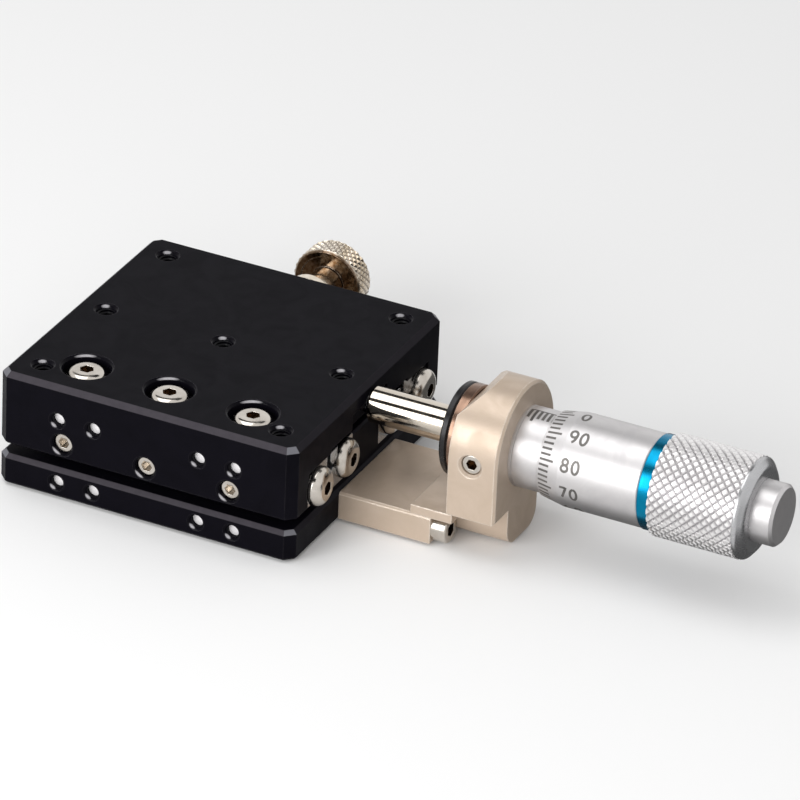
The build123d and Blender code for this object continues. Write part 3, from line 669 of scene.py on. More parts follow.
@dataclass(frozen=True)
class Finish:
    """A finish that varies in colour, roughness and relief over the surface."""

    name: str
    slot: str
    colour: Colour
    second: Colour
    roughness: float
    spread: float = 0.06
    metallic: float = 1.0
    grain: float = 0.0
    grain_scale: float = 5200.0
    lines: float = 0.0
    line_scale: float = 5200.0
    brushed: float = 0.0
    soft_edge: float = 0.12
    edge_wear_and_highlight_colour: Optional[Colour] = None
    edge_rough: float = 0.3
    centre: Place = (0.0, 0.0, AXIS_HEIGHT)
    turn: Place = (0.0, 0.0, 0.0)
    mirror: float = 0.5

    def place(self, graph: Graph) -> Socket:
        """Object place with the origin at the finish's centre and X along its axis."""
        where = graph.add("ShaderNodeTexCoord").outputs["Object"]
        inputs = {"Vector": where, "Location": tuple(-c * MM for c in self.centre)}
        moved = graph.add("ShaderNodeMapping", inputs).outputs["Vector"]
        if not any(self.turn):
            return moved
        inputs = {"Vector": moved, "Rotation": self.turn}
        return graph.add("ShaderNodeMapping", inputs).outputs["Vector"]

    @staticmethod
    def effect(graph: Graph, name: str, **inputs: object) -> bpy.types.Node:
        """A shared group with this finish's values."""
        node = graph.add("ShaderNodeGroup", node_tree=Effects.group(name))
        for key, value in inputs.items():
            graph.feed(node.inputs[key], value)
        return node

    def relief(self, graph: Graph, place: Socket, normal: Socket) -> Socket:
        """Bumps of grain, turned lines and brushing, one after another, over the soft normal."""
        layers = [
            ("fine_grain", self.grain, self.grain_scale),
            ("turned_lines", self.lines, self.line_scale),
            ("brushed_lines", self.brushed, self.line_scale),
        ]
        for name, amount, scale in layers:
            if amount:
                height = self.effect(graph, name, Vector=place, Scale=scale).outputs["Value"]
                inputs = {"Height": height, "Normal": normal, "Strength": 1.0,
                          "Distance": amount * MM}
                normal = graph.add("ShaderNodeBump", inputs).outputs["Normal"]
        return normal

    def material(self) -> bpy.types.Material:
        """The material of this finish, made once."""
        found = bpy.data.materials.get(self.name)
        if found:
            return found
        made = bpy.data.materials.new(self.name)
        made.use_nodes = True
        graph = Graph(made.node_tree)
        shader = graph.principled({"Metallic": self.metallic, "Specular IOR Level": self.mirror})
        place = self.place(graph)
        patches = self.effect(graph, "smudges", Vector=place, Scale=SMUDGE_SCALE).outputs["Value"]
        edge = self.effect(graph, "edge_wear_and_highlight", Vector=place, Radius=self.soft_edge * MM).outputs
        colour = self.tint(graph, graph.blend(patches, self.colour, self.second))
        low, high = self.roughness - self.spread, self.roughness + self.spread
        rough = graph.span(patches, 0.0, 1.0, low, high)
        # Lighter edges: partly wear, partly a painted highlight along the edges.
        if self.edge_wear_and_highlight_colour:
            colour = graph.blend(edge["Mask"], colour, self.edge_wear_and_highlight_colour)
            less = graph.times(edge["Mask"], self.edge_rough - self.roughness)
            rough = graph.maths("ADD", rough, less)
        graph.feed(shader.inputs["Base Color"], colour)
        graph.feed(shader.inputs["Roughness"], rough)
        graph.feed(shader.inputs["Normal"], self.relief(graph, place, edge["Normal"]))
        return made

    def tint(self, graph: Graph, colour: Socket) -> Socket:
        """What a kind of finish does to its colour in places."""
        return colour

    def dress(self, *names: str) -> None:
        """Give the finish to CAD nodes.

        Args:
            names: The nodes' names.
        """
        for name in names:
            self.put(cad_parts[name])

    def put(self, thing: bpy.types.Object) -> None:
        """Give the finish to one object."""
        thing.data.materials.clear()
        thing.data.materials.append(self.material())


@dataclass(frozen=True)
class Anodised(Finish):
    """Dyed oxide over blasted aluminium, which mirrors little, with a painted highlight on its
    chamfers.
    """

    mirror: float = 0.05
    # cut and corner: colours of the painted highlight on the chamfers and on their corner facets
    cut: Optional[Colour] = None
    corner: Colour = (0.14, 0.14, 0.155)

    def tint(self, graph: Graph, colour: Socket) -> Socket:
        """Paint a highlight on the chamfers, by how far their flat normal leans from Z."""
        if not self.cut:
            return colour
        masks = self.effect(graph, "chamfer_highlight").outputs
        colour = graph.blend(masks["Rim"], colour, self.cut)
        return graph.blend(masks["Corner"], colour, self.corner)


@dataclass(frozen=True)
class PaintedHighlightMouth(Anodised):
    """Oxide of a hole's mouth, with a painted highlight on the side that faces one direction."""

    highlight_colour: Colour = (0.4, 0.39, 0.41)
    # side: the direction whose facing normals get the painted highlight
    side: Place = (0.42, -0.68, 0.6)

    def tint(self, graph: Graph, colour: Socket) -> Socket:
        """Paint the highlight on that side."""
        mask = self.effect(graph, "painted_highlight_facing", Direction=self.side).outputs["Mask"]
        return graph.blend(mask, colour, self.highlight_colour)


@dataclass(frozen=True)
class Knurled(Finish):
    """A finish with painted shade that makes its grooves darker than its crests."""

    inner: float = 9.4
    outer: float = 9.9
    low: float = 92.6
    high: float = 109.55
    # colour of the painted shade in the grooves
    groove: Colour = (0.5, 0.49, 0.5)

    def tint(self, graph: Graph, colour: Socket) -> Socket:
        """Paint shade into the grooves by their distance from the axis."""
        ends = {"Inner": self.inner, "Outer": self.outer, "Low": self.low, "High": self.high}
        inputs = {key: value * MM for key, value in ends.items()}
        mask = self.effect(graph, "groove_shade", Vector=self.place(graph), **inputs)
        return graph.blend(mask.outputs["Mask"], colour, self.groove)


# In these finishes the edge colour lightens edges as both wear and painted highlight, and an
# anodised finish's cut and corner colours are painted highlights on its chamfers.
BLACK_ANODISED = Anodised(
    "black anodised aluminium", "black_anodised", (0.0034, 0.003, 0.0052), (0.0026, 0.0023, 0.004),
    0.42, spread=0.04, metallic=0.0, grain=0.01, grain_scale=6500.0, soft_edge=0.22, mirror=0.03,
    edge_wear_and_highlight_colour=(0.03, 0.028, 0.031), edge_rough=0.34, centre=(0, 0, 12.0),
    cut=(0.052, 0.047, 0.055),
)
BLUE_ANODISED = Anodised(
    "blue anodised aluminium", "blue_anodised", (0.004, 0.2, 0.35), (0.003, 0.16, 0.29), 0.27,
    spread=0.04, lines=0.01, soft_edge=0.15,
)
BRACKET_NICKEL = Finish(
    "champagne nickel plate", "bracket_nickel", (0.51, 0.41, 0.325), (0.465, 0.37, 0.285), 0.36,
    metallic=0.3, grain=0.014, grain_scale=3800.0, soft_edge=0.36,
    edge_wear_and_highlight_colour=(0.95, 0.87, 0.77), edge_rough=0.22, centre=(50, 0, 12),
)
SCREW_NICKEL = Finish(
    "bright nickel plate", "nickel_screws", (0.62, 0.58, 0.53), (0.5, 0.46, 0.41), 0.17,
    spread=0.07, grain=0.002, grain_scale=3000.0, soft_edge=0.14,
    edge_wear_and_highlight_colour=(0.85, 0.82, 0.77), edge_rough=0.18,
)
SATIN_CHROME = Finish(
    "satin chrome", "satin_chrome", (0.62, 0.605, 0.605), (0.57, 0.555, 0.56), 0.45,
    spread=0.03, lines=0.006, line_scale=4200.0, grain=0.004, soft_edge=0.14,
    edge_wear_and_highlight_colour=(0.7, 0.7, 0.71),
)
# Its grooves take the default groove colour, a painted shade.
KNURLED_CHROME = Knurled(
    "knurled chrome", "knurled_chrome", (0.88, 0.865, 0.86), (0.82, 0.805, 0.805), 0.4,
    spread=0.05, soft_edge=0.05,
)
END_CHROME = Finish(
    "turned chrome", "knurled_chrome", (0.5, 0.5, 0.51), (0.45, 0.45, 0.46), 0.28,
    spread=0.04, lines=0.002, soft_edge=0.2, edge_wear_and_highlight_colour=(0.85, 0.85, 0.86), edge_rough=0.2,
)
SPINDLE_STEEL = Finish(
    "ground spindle steel", "polished_spindle", (0.66, 0.6, 0.52), (0.59, 0.53, 0.45), 0.11,
    spread=0.03, lines=0.004, line_scale=9000.0,
)
RAIL_STEEL = Finish(
    "ground rail steel", "rail_steel", (0.5, 0.5, 0.51), (0.42, 0.42, 0.43), 0.26,
    brushed=0.008, soft_edge=0.15, edge_wear_and_highlight_colour=(0.66, 0.66, 0.67),
)
ROLLER_STEEL = Finish(
    "bearing steel", "bearing_steel", (0.6, 0.6, 0.62), (0.52, 0.52, 0.54), 0.14,
    lines=0.003, soft_edge=0.08,
)
CAGE_BRASS = Finish(
    "rolled brass", "cage_brass", (0.62, 0.44, 0.17), (0.5, 0.34, 0.13), 0.3,
    brushed=0.006, soft_edge=0.08,
)
SPRING_STEEL = Finish(
    "drawn spring steel", "spring_steel", (0.4, 0.39, 0.38), (0.3, 0.29, 0.28), 0.28,
    grain=0.004, soft_edge=0.05,
)
NUT_NICKEL = Finish(
    "brown nickel nut", "nut_nickel", (0.26, 0.165, 0.12), (0.14, 0.085, 0.06), 0.3,
    lines=0.008, soft_edge=0.15, edge_wear_and_highlight_colour=(0.6, 0.47, 0.4),
)
BLACK_STEEL = Finish(
    "blackened steel", "black_steel", (0.02, 0.019, 0.02), (0.012, 0.012, 0.013), 0.33,
    metallic=0.6, lines=0.008, soft_edge=0.15, edge_wear_and_highlight_colour=(0.09, 0.085, 0.085),
)
KNOB_NICKEL = Knurled(
    "worn nickel over brass", "knob_nickel", (0.76, 0.69, 0.6), (0.58, 0.48, 0.34), 0.17,
    spread=0.07, grain=0.004, edge_wear_and_highlight_colour=(0.9, 0.85, 0.76),
    centre=(0, 40, 15.65), turn=(0.0, 0.0, -math.pi / 2),
    # The groove colour is painted shade over the knurl's grooves and the knob's inner face.
    inner=6.88, outer=7.2, low=3.55, high=8.25, groove=(0.08, 0.04, 0.015),
)
# Hole mouths: dark oxide with a painted highlight where they face up, front and right.
PAINTED_HIGHLIGHT_MOUTH = PaintedHighlightMouth(
    "oxide of hole mouths with painted highlight", "black_anodised", (0.0034, 0.003, 0.005), (0.0026, 0.0023, 0.004),
    0.2, spread=0.05, metallic=0.0, soft_edge=0.04, mirror=0.04,
)
HOLE_OXIDE = Anodised(
    "dark oxide of hole mouths", "black_anodised", (0.0034, 0.003, 0.005), (0.0026, 0.0023, 0.004),
    0.18, spread=0.05, metallic=0.0, soft_edge=0.04, mirror=0.12,
)
# Dark brown cups in the screws' hexagon sockets: painted shade.
SOCKET_SHADE = Finish(
    "painted shade in screw sockets", "nickel_screws", (0.24, 0.17, 0.11), (0.1, 0.07, 0.045), 0.25,
    spread=0.08, grain=0.004, soft_edge=0.04,
)
DRILLED_ALUMINIUM = Finish(
    "drilled aluminium", "rail_steel", (0.95, 0.93, 0.94), (0.85, 0.83, 0.84), 0.35,
    metallic=0.35, spread=0.05, soft_edge=0.04,
)
DIAL_INK = Finish(
    "dial filling", "black_steel", (0.1, 0.095, 0.09), (0.17, 0.16, 0.15), 0.45,
    metallic=0.6, soft_edge=0.02,
)


# Sub-assemblies


@dataclass
class MicrometerHead:
    """Thimble, sleeve scale and knurled grip of the drive.

    Lengths of ticks are pairs: that of a common tick, and that of every fifth one.
    """

    thimble_start: float = 69.5
    thimble_edge: float = 8.2
    thimble_radius: float = 9.05
    cone: float = 4.5
    grip_start: float = 92.5
    grip_end: float = 111.5
    grip_radius: float = 9.9
    core_radius: float = 8.57
    cap_bore: float = 4.02
    end_depth: float = 1.3
    knurl_end: float = 109.6
    knurl_depth: float = 0.5
    knurl_starts: int = 32
    knurl_pitch: float = 1.84
    knurl_flat: float = 0.5
    sleeve_start: float = 64.0
    sleeve_end: float = 90.0
    sleeve_radius: float = 7.8
    sleeve_pitch: float = 1.0
    sleeve_count: int = 12
    sleeve_ticks: tuple[float, float] = (2.6, 3.4)
    sleeve_tick_width: float = 0.55
    datum: tuple[float, float] = (64.6, 82.0)
    datum_width: float = 0.3
    travel: float = 6.0
    zero_angle: float = 92.8
    divisions: int = 50
    tick_start: float = 0.35
    ticks: tuple[float, float] = (2.1, 2.9)
    tick_width: float = 0.46
    number_place: float = 6.8
    digit: tuple[float, float] = (1.4, 2.4)
    digit_gap: float = 2.15
    digit_width: float = 0.5

    def dress(self) -> None:
        """Give the micrometer's CAD nodes their finishes."""
        SATIN_CHROME.dress("thimble", "scale_sleeve", "micrometer_stem", "thimble_cap")
        BLUE_ANODISED.dress("thimble_ring")
        SPINDLE_STEEL.dress("spindle")
        NUT_NICKEL.dress("stem_nut", "adjusting_nut")
        BLACK_STEEL.dress("stem_lock_ring")

    def grip(self) -> None:
        """The grip's diamond knurl, and the turned ring with a rounded edge that ends it."""
        band, end = Shell("knurled_grip"), Shell("grip_end_ring")
        turning = Turning()
        knurl = Knurl(self.grip_radius, self.knurl_depth, self.knurl_starts, self.knurl_pitch,
                      self.grip_start + 0.05, self.knurl_end, self.knurl_flat)
        knurl.add(band, turning, self.core_radius)
        low, high, rim = self.knurl_end - 0.02, self.grip_end, self.grip_radius - 0.12
        profile = rounded([
            (low, self.core_radius, 0),
            (low, rim, 0.1),
            (high - self.end_depth, rim, 0.4),
            (high - 0.1, self.grip_radius - 1.7, 0.5),
            (high, self.core_radius - 0.9, 0.2),
            (high, self.cap_bore, 0),
            (high - self.end_depth, self.cap_bore, 0),
            (high - self.end_depth, self.core_radius, 0),
        ])
        turned_shell(end, turning, profile)
        made = band.build(Body.THIMBLE)
        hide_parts("thimble_grip")
        KNURLED_CHROME.put(made)
        END_CHROME.put(end.build(Body.THIMBLE))

    def thimble_scale(self) -> None:
        """Ticks round the thimble's bevel and a number at every fifth one."""
        shell = Shell("thimble_scale")
        start, top = self.thimble_start, self.thimble_start + self.cone
        radii = (self.thimble_edge, self.thimble_radius, self.thimble_radius)
        inlay = Inlay(Turning(), (start, top, top + 20), radii)
        arc = np.radians(1.0) * self.thimble_radius
        begin = start + self.tick_start
        for k in range(self.divisions):
            level = (self.zero_angle + 360.0 / self.divisions * k) * arc
            line = np.array([[begin, level], [begin + self.ticks[k % 5 == 0], level]])
            inlay.ribbon(shell, line, self.tick_width, step=1.2)
            if k % 5 == 0:
                text = str(k * 2)
                middle = (start + self.number_place - (1.0 if len(text) == 1 else 0.0), level)
                inlay.word(shell, text, middle, self.digit, self.digit_gap, self.digit_width)
        DIAL_INK.put(shell.build(Body.THIMBLE, sharp=40.0))

    def sleeve_scale(self) -> None:
        """The sleeve's datum line with a tick at every turn of the thimble."""
        shell = Shell("sleeve_scale")
        ends = (self.sleeve_start, self.sleeve_end)
        inlay = Inlay(Turning(), ends, (self.sleeve_radius, self.sleeve_radius))
        level = self.zero_angle * np.radians(1.0) * self.sleeve_radius
        datum = np.array([[end, level] for end in self.datum])
        inlay.ribbon(shell, datum, self.datum_width, step=1.0)
        for k in range(self.sleeve_count):
            place = self.thimble_start - self.sleeve_pitch * k + self.travel
            line = np.array([[place, level], [place, level - self.sleeve_ticks[k % 5 == 0]]])
            inlay.ribbon(shell, line, self.sleeve_tick_width, step=0.4)
        DIAL_INK.put(shell.build(Body.BASE, sharp=40.0))

    def build(self) -> None:
        """Build and dress the whole head."""
        self.dress()
        self.grip()
        self.thimble_scale()
        self.sleeve_scale()


@dataclass
class ClampKnob:
    """Knurled clamp screw on the rear side."""

    radius: float = 7.2
    length: float = 5.2
    start: float = 43.6
    height: float = 15.65
    plate_face: float = 35.15
    play: float = 0.1
    collar_radius: float = 5.0
    collar_length: float = 2.0
    neck: float = 3.4
    shank: float = 2.0
    shank_start: float = 25.9
    point: float = 0.4
    rim: float = 0.5
    knurl_depth: float = 0.32
    knurl_starts: int = 30
    knurl_pitch: float = 1.4
    knurl_flat: float = 0.6

    def build(self) -> None:
        """The knob: plain shank, collar, neck and a finely knurled rim."""
        shell = Shell("knurled_clamp_knob")
        turning = Turning(Way.ALONG_Y, (0.0, 0.0, self.height))
        collar, tip, rim = self.plate_face + self.play, self.shank_start, self.rim
        low, high, outer = self.start, self.start + self.length, self.radius
        knurl = Knurl(outer, self.knurl_depth, self.knurl_starts, self.knurl_pitch,
                      low + rim, high - rim, self.knurl_flat, fine=3)
        knurl.add(shell, turning, outer - 1.0)
        profile = rounded([
            (tip, 0, 0),
            (tip, self.shank - self.point, 0),
            (tip + self.point, self.shank, 0),
            (collar, self.shank, 0),
            (collar, self.collar_radius, 0.25),
            (collar + self.collar_length, self.collar_radius, 0.3),
            (collar + self.collar_length, self.neck, 0.2),
            (low + rim, self.neck, 0.3),
            (low + rim, outer - 1.6, 0.2),
            (low, outer - 1.6, 0.15),
            (low, outer - rim, 0.15),
            (low + rim + 0.01, outer - 0.1, 0),
            (low + rim + 0.01, outer - 0.8, 0),
            (high - rim - 0.01, outer - 0.8, 0),
            (high - rim - 0.01, outer - 0.1, 0),
            (high, outer - rim, 0.15),
            (high, 0, 0),
        ])
        turned_shell(shell, turning, profile, steps=128)
        made = shell.build(Body.CLAMP, sharp=24.0)
        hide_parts("clamp_knob")
        KNOB_NICKEL.put(made)


LINING_GAP = 0.01        # between a socket's lining and the wall behind it
LINING_WALL = 0.04
LINING_SOLE = 0.02


@dataclass(frozen=True)
class HexScrew:
    """Screw with a hexagon socket, and with a rounded head or none."""

    head: float
    height: float
    shank: float
    length: float
    socket: float
    depth: float
    rounding: float
    cut: float = 0.4
    steps: int = 96

    def add(self, shell: Shell, turning: Turning, seat: float, way: int) -> None:
        """Add one screw.

        The socket's wall stands at half the width across flats over cos u, with u the angle
        from the middle of the nearest flat.

        Args:
            shell: The mesh that gets the screw.
            turning: The screw's axis.
            seat: Place of the head's seat, or of a headless screw's point, along the axis.
            way: 1 where the head looks toward growing places, else -1.
        """
        sixth = np.pi / 3
        turn = np.arange(self.steps) * 2 * np.pi / self.steps
        if self.length:
            foot = [(-self.length, self.shank - self.cut), (self.cut - self.length, self.shank),
                    (0.0, self.shank), (0.0, self.head)]
        else:
            foot = [(0.0, self.shank - 2 * self.cut), (2 * self.cut, self.shank)]
        bend = np.linspace(0, np.pi / 2, 9)
        arc = np.stack([self.height - self.rounding * (1 - np.sin(bend)),
                        self.head - self.rounding * (1 - np.cos(bend))], axis=1)
        socket = [(self.height, 0.0), (self.height - self.depth, 0.0)]
        rows = np.concatenate([np.array(foot), arc, socket])
        radii = np.repeat(rows[:, 1:], self.steps, axis=1)
        radii[-2:] = self.socket / 2 / np.cos(turn % sixth - sixth / 2)
        places = seat + way * np.concatenate([rows[:1, 0], rows[:, 0], rows[-1:, 0]])
        middle = np.concatenate([[0.0], np.maximum(rows[:, 1], 0.1), [0.0]])
        profile = np.stack([places, middle], axis=1)
        if way < 0:
            profile, radii = profile[::-1], radii[::-1]
        turned_shell(shell, turning, profile, self.steps, turning.corner, radii)

    def add_lining(self, shell: Shell, turning: Turning, seat: float, way: int) -> None:
        """Add the dark lining, painted shade, of the socket of a screw that stands as in add."""
        face = seat + way * self.height
        socket_lining(shell, turning, face, self.depth, self.socket, -way)


def socket_lining(shell: Shell, turning: Turning, face: float, depth: float, width: float,
                  way: int) -> None:
    """Add a thin dark cup in a hexagon socket, which paints shade there.

    Args:
        shell: The mesh that gets the cup.
        turning: The screw's axis.
        face: Place of the socket's mouth along the axis.
        depth: Depth of the socket.
        width: Width across the flats.
        way: 1 where the socket goes toward growing places, else -1.
    """
    corner = width / math.sqrt(3)
    outside, inside = corner - LINING_GAP, corner - LINING_GAP - LINING_WALL
    mouth, back = face + way * LINING_WALL, face + way * (depth - LINING_GAP)
    floor = back - way * LINING_SOLE
    profile = np.array([(floor, 0.0), (floor, inside), (mouth, inside),
                        (mouth, outside), (back, outside), (back, 0.0)])
    turned_shell(shell, turning, profile[::-1] if way > 0 else profile, 6, turning.corner)


@dataclass(frozen=True)
class ScrewSet:
    """The screws of one CAD node, each with its axis, seat and way."""

    node: str
    body: Body
    screw: HexScrew
    places: list[tuple[Turning, float, int]]
    lined: bool = True


@dataclass(frozen=True)
class Mouth:
    """A hole's mouth: radius of the hole, radius at the face, and way from face to foot."""

    bore: float
    wide: float
    deep: float
    steps: int = 48
    proud: float = 0.01
    inset: float = 0.02
    behind: float = 0.04

    def add(self, shell: Shell, turning: Turning, face: float) -> None:
        """Add a thin lining, rounded from the face into the bore.

        At turn t from 20 to 70 degrees its depth grows with the fall of cos t, and its radius
        shrinks with the growth of sin t, from the face's mouth to the bore.

        Args:
            shell: The mesh that gets the lining.
            turning: The hole's axis.
            face: Place of the face along the axis.
        """
        turn = np.radians(np.linspace(20, 70, 6))
        down = (np.cos(turn[0]) - np.cos(turn)) / (np.cos(turn[0]) - np.cos(turn[-1]))
        inward = (np.sin(turn) - np.sin(turn[0])) / (np.sin(turn[-1]) - np.sin(turn[0]))
        proud = math.copysign(self.proud, self.deep)
        along = face + proud + (self.deep - proud) * down
        radius = self.bore - self.inset + (self.wide - self.bore) * (1 - inward)
        front = np.stack([along, radius], axis=1)
        back = np.array([(face + self.deep, self.bore + self.behind),
                         (along[0], self.wide + self.behind)])
        profile = np.concatenate([front, back])
        turned_shell(shell, turning, profile[::-1] if self.deep > 0 else profile, self.steps)


@dataclass(frozen=True)
class Thread:
    """The ridge of an internal thread: radius of its wall, pitch and length."""

    radius: float
    pitch: float
    depth: float
    crest: float = 0.37
    foot: float = 0.36
    buried: float = 0.02
    run_in: float = 0.5
    steps: int = 20

    def add(self, shell: Shell, turning: Turning, mouth: float) -> None:
        """Add one ridge, whose crest and feet are shares of the pitch.

        It is a closed triangle carried along a helix: at turn s it stands at the mouth less
        the pitch times s, its feet are on the hole's wall and its crest points inward, and it
        grows from nothing over its first and last half turn.

        Args:
            shell: The mesh that gets the ridge.
            turning: The hole's axis.
            mouth: Place of the thread's start along the axis.
        """
        turns = self.depth / self.pitch
        share = np.linspace(0, turns, int(turns * self.steps) + 1)[:, None]
        grown = np.clip(np.minimum(share, turns - share) / self.run_in, 0.02, 1)
        feet = grown * self.pitch * np.array([[self.foot, 0.0, -self.foot]])
        depths = grown * np.array([[-self.buried, self.crest * abs(self.pitch), -self.buried]])
        along = mouth - self.pitch * share + feet
        grid = turning.place(along, self.radius - depths, 2 * np.pi * share)
        if turning.way is Way.ALONG_Y:
            grid = grid[:, ::-1]
        shell.add_grid(grid, wrap_columns=True)


TOP_MOUTH = Mouth(bore=1.7, wide=2.35, deep=-0.65)
TOP_THREAD = Thread(radius=1.71, pitch=0.7, depth=5.0)
FRONT_MOUTH = Mouth(bore=1.3, wide=1.8, deep=0.5)
FRONT_THREAD = Thread(radius=1.31, pitch=-0.4, depth=-0.8)
COUNTERBORE_MOUTH = Mouth(bore=4.6, wide=5.1, deep=-0.5, steps=96)
PRELOAD_MOUTH = Mouth(bore=2.02, wide=2.45, deep=0.43, steps=64)
TOP_SCREW = HexScrew(head=4.0, height=2.2, shank=2.0, length=11.0, socket=2.5, depth=1.32,
                     rounding=1.76)
INNER_SCREW = HexScrew(head=3.9, height=2.4, shank=1.5, length=6.0, socket=2.5, depth=1.44,
                       rounding=1.92)
OUTER_SCREW = replace(INNER_SCREW, length=6.6)
PRELOAD_SCREW = HexScrew(head=2.0, height=5.15, shank=2.0, length=0.0, socket=2.0, depth=2.31,
                         rounding=0.3)
STEM_SCREW = replace(PRELOAD_SCREW, height=5.8, depth=2.61)


@dataclass
class Stage:
    """Base, table, rails and their screws."""

    half: float = 31.15
    table_top: float = 23.7
    hole_pitch: float = 50.0
    inner_pair: float = 22.0
    outer_pair: float = 37.0
    table_row: float = 16.4
    base_row: float = 3.1
    hole_depth: float = 1.9
    floor_radius: float = 1.29
    top_thread: float = 0.75
    front_thread: float = 0.55
    screw_pitch: float = 17.5
    top_seat: float = 21.0
    preload_height: float = 11.5
    preload_seat: float = -25.1
    end_height: float = 12.1
    outer_screw: float = 21.6
    outer_seat: float = 31.05
    inner_screw: float = 9.6
    inner_seat: float = 30.45
    stem_screw: float = 57.955
    stem_seat: float = -6.0
    bracket_screw: float = 9.2
    bracket_height: float = 2.8
    bracket_face: float = 53.2
    bracket_socket: tuple[float, float] = (1.65, 2.5)

    def dress(self) -> None:
        """Give the stage's CAD nodes their finishes."""
        BLACK_ANODISED.dress("base_plate", "table_plate")
        RAIL_STEEL.dress("inner_rail_front", "inner_rail_rear", "outer_rail_front",
                         "outer_rail_rear")
        ROLLER_STEEL.dress("rollers_front", "rollers_rear", "anvil", "base_spring_pin",
                           "table_spring_pin")
        CAGE_BRASS.dress("cage_front", "cage_rear")
        SPRING_STEEL.dress("return_spring")
        SCREW_NICKEL.dress("inner_rail_screws", "rear_rail_screws", "end_washers",
                           "bracket_screws", "clamp_plate_screws")
        BRACKET_NICKEL.dress("bracket", "clamp_plate")

    def top_row(self) -> list[Turning]:
        """Axes of the three top screws."""
        return [Turning(Way.ALONG_Z, (x, -self.outer_screw, 0.0))
                for x in (-self.screw_pitch, 0.0, self.screw_pitch)]

    def preload_row(self) -> list[Turning]:
        """Axes of the three preload screws."""
        return [Turning(Way.ALONG_Y, (x, 0.0, self.preload_height))
                for x in (-self.screw_pitch, 0.0, self.screw_pitch)]

    def top_holes(self) -> None:
        """Cut mouths of the table's tapped holes and counterbores, and dark threads under them."""
        mouths, threads = Shell("top_hole_mouths"), Shell("top_hole_threads")
        half = self.hole_pitch / 2
        corners = [(x, y) for x in (-half, half) for y in (-half, half)]
        for x, y in corners + [(-half, 0), (half, 0), (0, 0)]:
            turning = Turning(Way.ALONG_Z, (x, y, 0))
            TOP_MOUTH.add(mouths, turning, self.table_top)
            TOP_THREAD.add(threads, turning, self.table_top - self.top_thread)
        for turning in self.top_row():
            COUNTERBORE_MOUTH.add(mouths, turning, self.table_top)
        PAINTED_HIGHLIGHT_MOUTH.put(mouths.build(Body.TABLE))
        HOLE_OXIDE.put(threads.build(Body.TABLE))

    def front_holes(self, name: str, height: float, body: Body) -> None:
        """Cut mouths and bright floors of a front face's tapped holes, and dark threads between.

        Args:
            name: The start of the pieces' names.
            height: Height of the row of holes.
            body: The moving body that the face belongs to.
        """
        kinds = ("mouths", "floors", "threads")
        mouths, floors, threads = (Shell(f"{name}_{kind}") for kind in kinds)
        inner, outer = self.inner_pair / 2, self.outer_pair / 2
        for x in (-outer, -inner, inner, outer):
            turning = Turning(Way.ALONG_Y, (x, 0.0, height))
            FRONT_MOUTH.add(mouths, turning, -self.half)
            self.floor(floors, turning, self.hole_depth - self.half, self.floor_radius)
            FRONT_THREAD.add(threads, turning, -self.half + self.front_thread)
        PAINTED_HIGHLIGHT_MOUTH.put(mouths.build(body))
        DRILLED_ALUMINIUM.put(floors.build(body))
        HOLE_OXIDE.put(threads.build(body))

    @staticmethod
    def floor(shell: Shell, turning: Turning, place: float, radius: float) -> None:
        """A drilled hole's bright floor: a low cone with its tip inward, closed by a flat back."""
        face = place - 0.05
        profile = np.array([(place - 0.25, 0.0), (place - 0.35, radius), (face, radius),
                            (face, 0.0)])
        turned_shell(shell, turning, profile, 48)

    def preload_mouths(self) -> None:
        """Cut mouths of the preload screws' holes."""
        shell = Shell("preload_hole_mouths")
        for turning in self.preload_row():
            PRELOAD_MOUTH.add(shell, turning, -self.half)
        PAINTED_HIGHLIGHT_MOUTH.put(shell.build(Body.TABLE))

    def end_places(self, side: float, seat: float) -> list[tuple[Turning, float, int]]:
        """Axis, seat and way of the end screws of a pair of rails.

        Args:
            side: Distance of the screws from the middle plane.
            seat: Distance of their seats from the middle of the stage.

        Returns:
            Four places, the front rail's first.
        """
        rows = [Turning(Way.ALONG_X, (0.0, y, self.end_height)) for y in (-side, side)]
        return [(row, way * seat, way) for row in rows for way in (1, -1)]

    def screw_sets(self) -> list[ScrewSet]:
        """The screws whose heads show, in their CAD nodes' sets."""
        top = [(turning, self.top_seat, 1) for turning in self.top_row()]
        preload = [(turning, self.preload_seat, -1) for turning in self.preload_row()]
        stem = [(Turning(Way.ALONG_Y, (self.stem_screw, 0.0, AXIS_HEIGHT)), self.stem_seat, -1)]
        outer = self.end_places(self.outer_screw, self.outer_seat)
        inner = self.end_places(self.inner_screw, self.inner_seat)
        return [
            ScrewSet("top_screws", Body.TABLE, TOP_SCREW, top),
            ScrewSet("outer_end_screws", Body.TABLE, OUTER_SCREW, outer),
            ScrewSet("inner_end_screws", Body.BASE, INNER_SCREW, inner),
            ScrewSet("preload_screws", Body.TABLE, PRELOAD_SCREW, preload, lined=False),
            ScrewSet("stem_set_screw", Body.BASE, STEM_SCREW, stem),
        ]

    def screws(self) -> None:
        """Screws with smooth heads and crisp sockets, and the sockets' dark linings of painted
        shade.
        """
        table, base = Shell("table_screw_sockets"), Shell("base_screw_sockets")
        linings = {Body.TABLE: table, Body.BASE: base}
        for group in self.screw_sets():
            shell = Shell(f"smooth_{group.node}")
            for place in group.places:
                group.screw.add(shell, *place)
                if group.lined:
                    group.screw.add_lining(linings[group.body], *place)
            made = shell.build(group.body, sharp=25.0)
            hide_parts(group.node)
            SCREW_NICKEL.put(made)
        for y in (-self.bracket_screw, self.bracket_screw):
            turning = Turning(Way.ALONG_X, (0.0, y, self.bracket_height))
            socket_lining(base, turning, self.bracket_face, *self.bracket_socket, -1)
        for body, shell in linings.items():
            SOCKET_SHADE.put(shell.build(body))

    def build(self) -> None:
        """Dress the stage, line its holes and add its screws."""
        self.dress()
        self.top_holes()
        self.front_holes("table_front", self.table_row, Body.TABLE)
        self.front_holes("base_front", self.base_row, Body.BASE)
        self.preload_mouths()
        self.screws()


# Picture


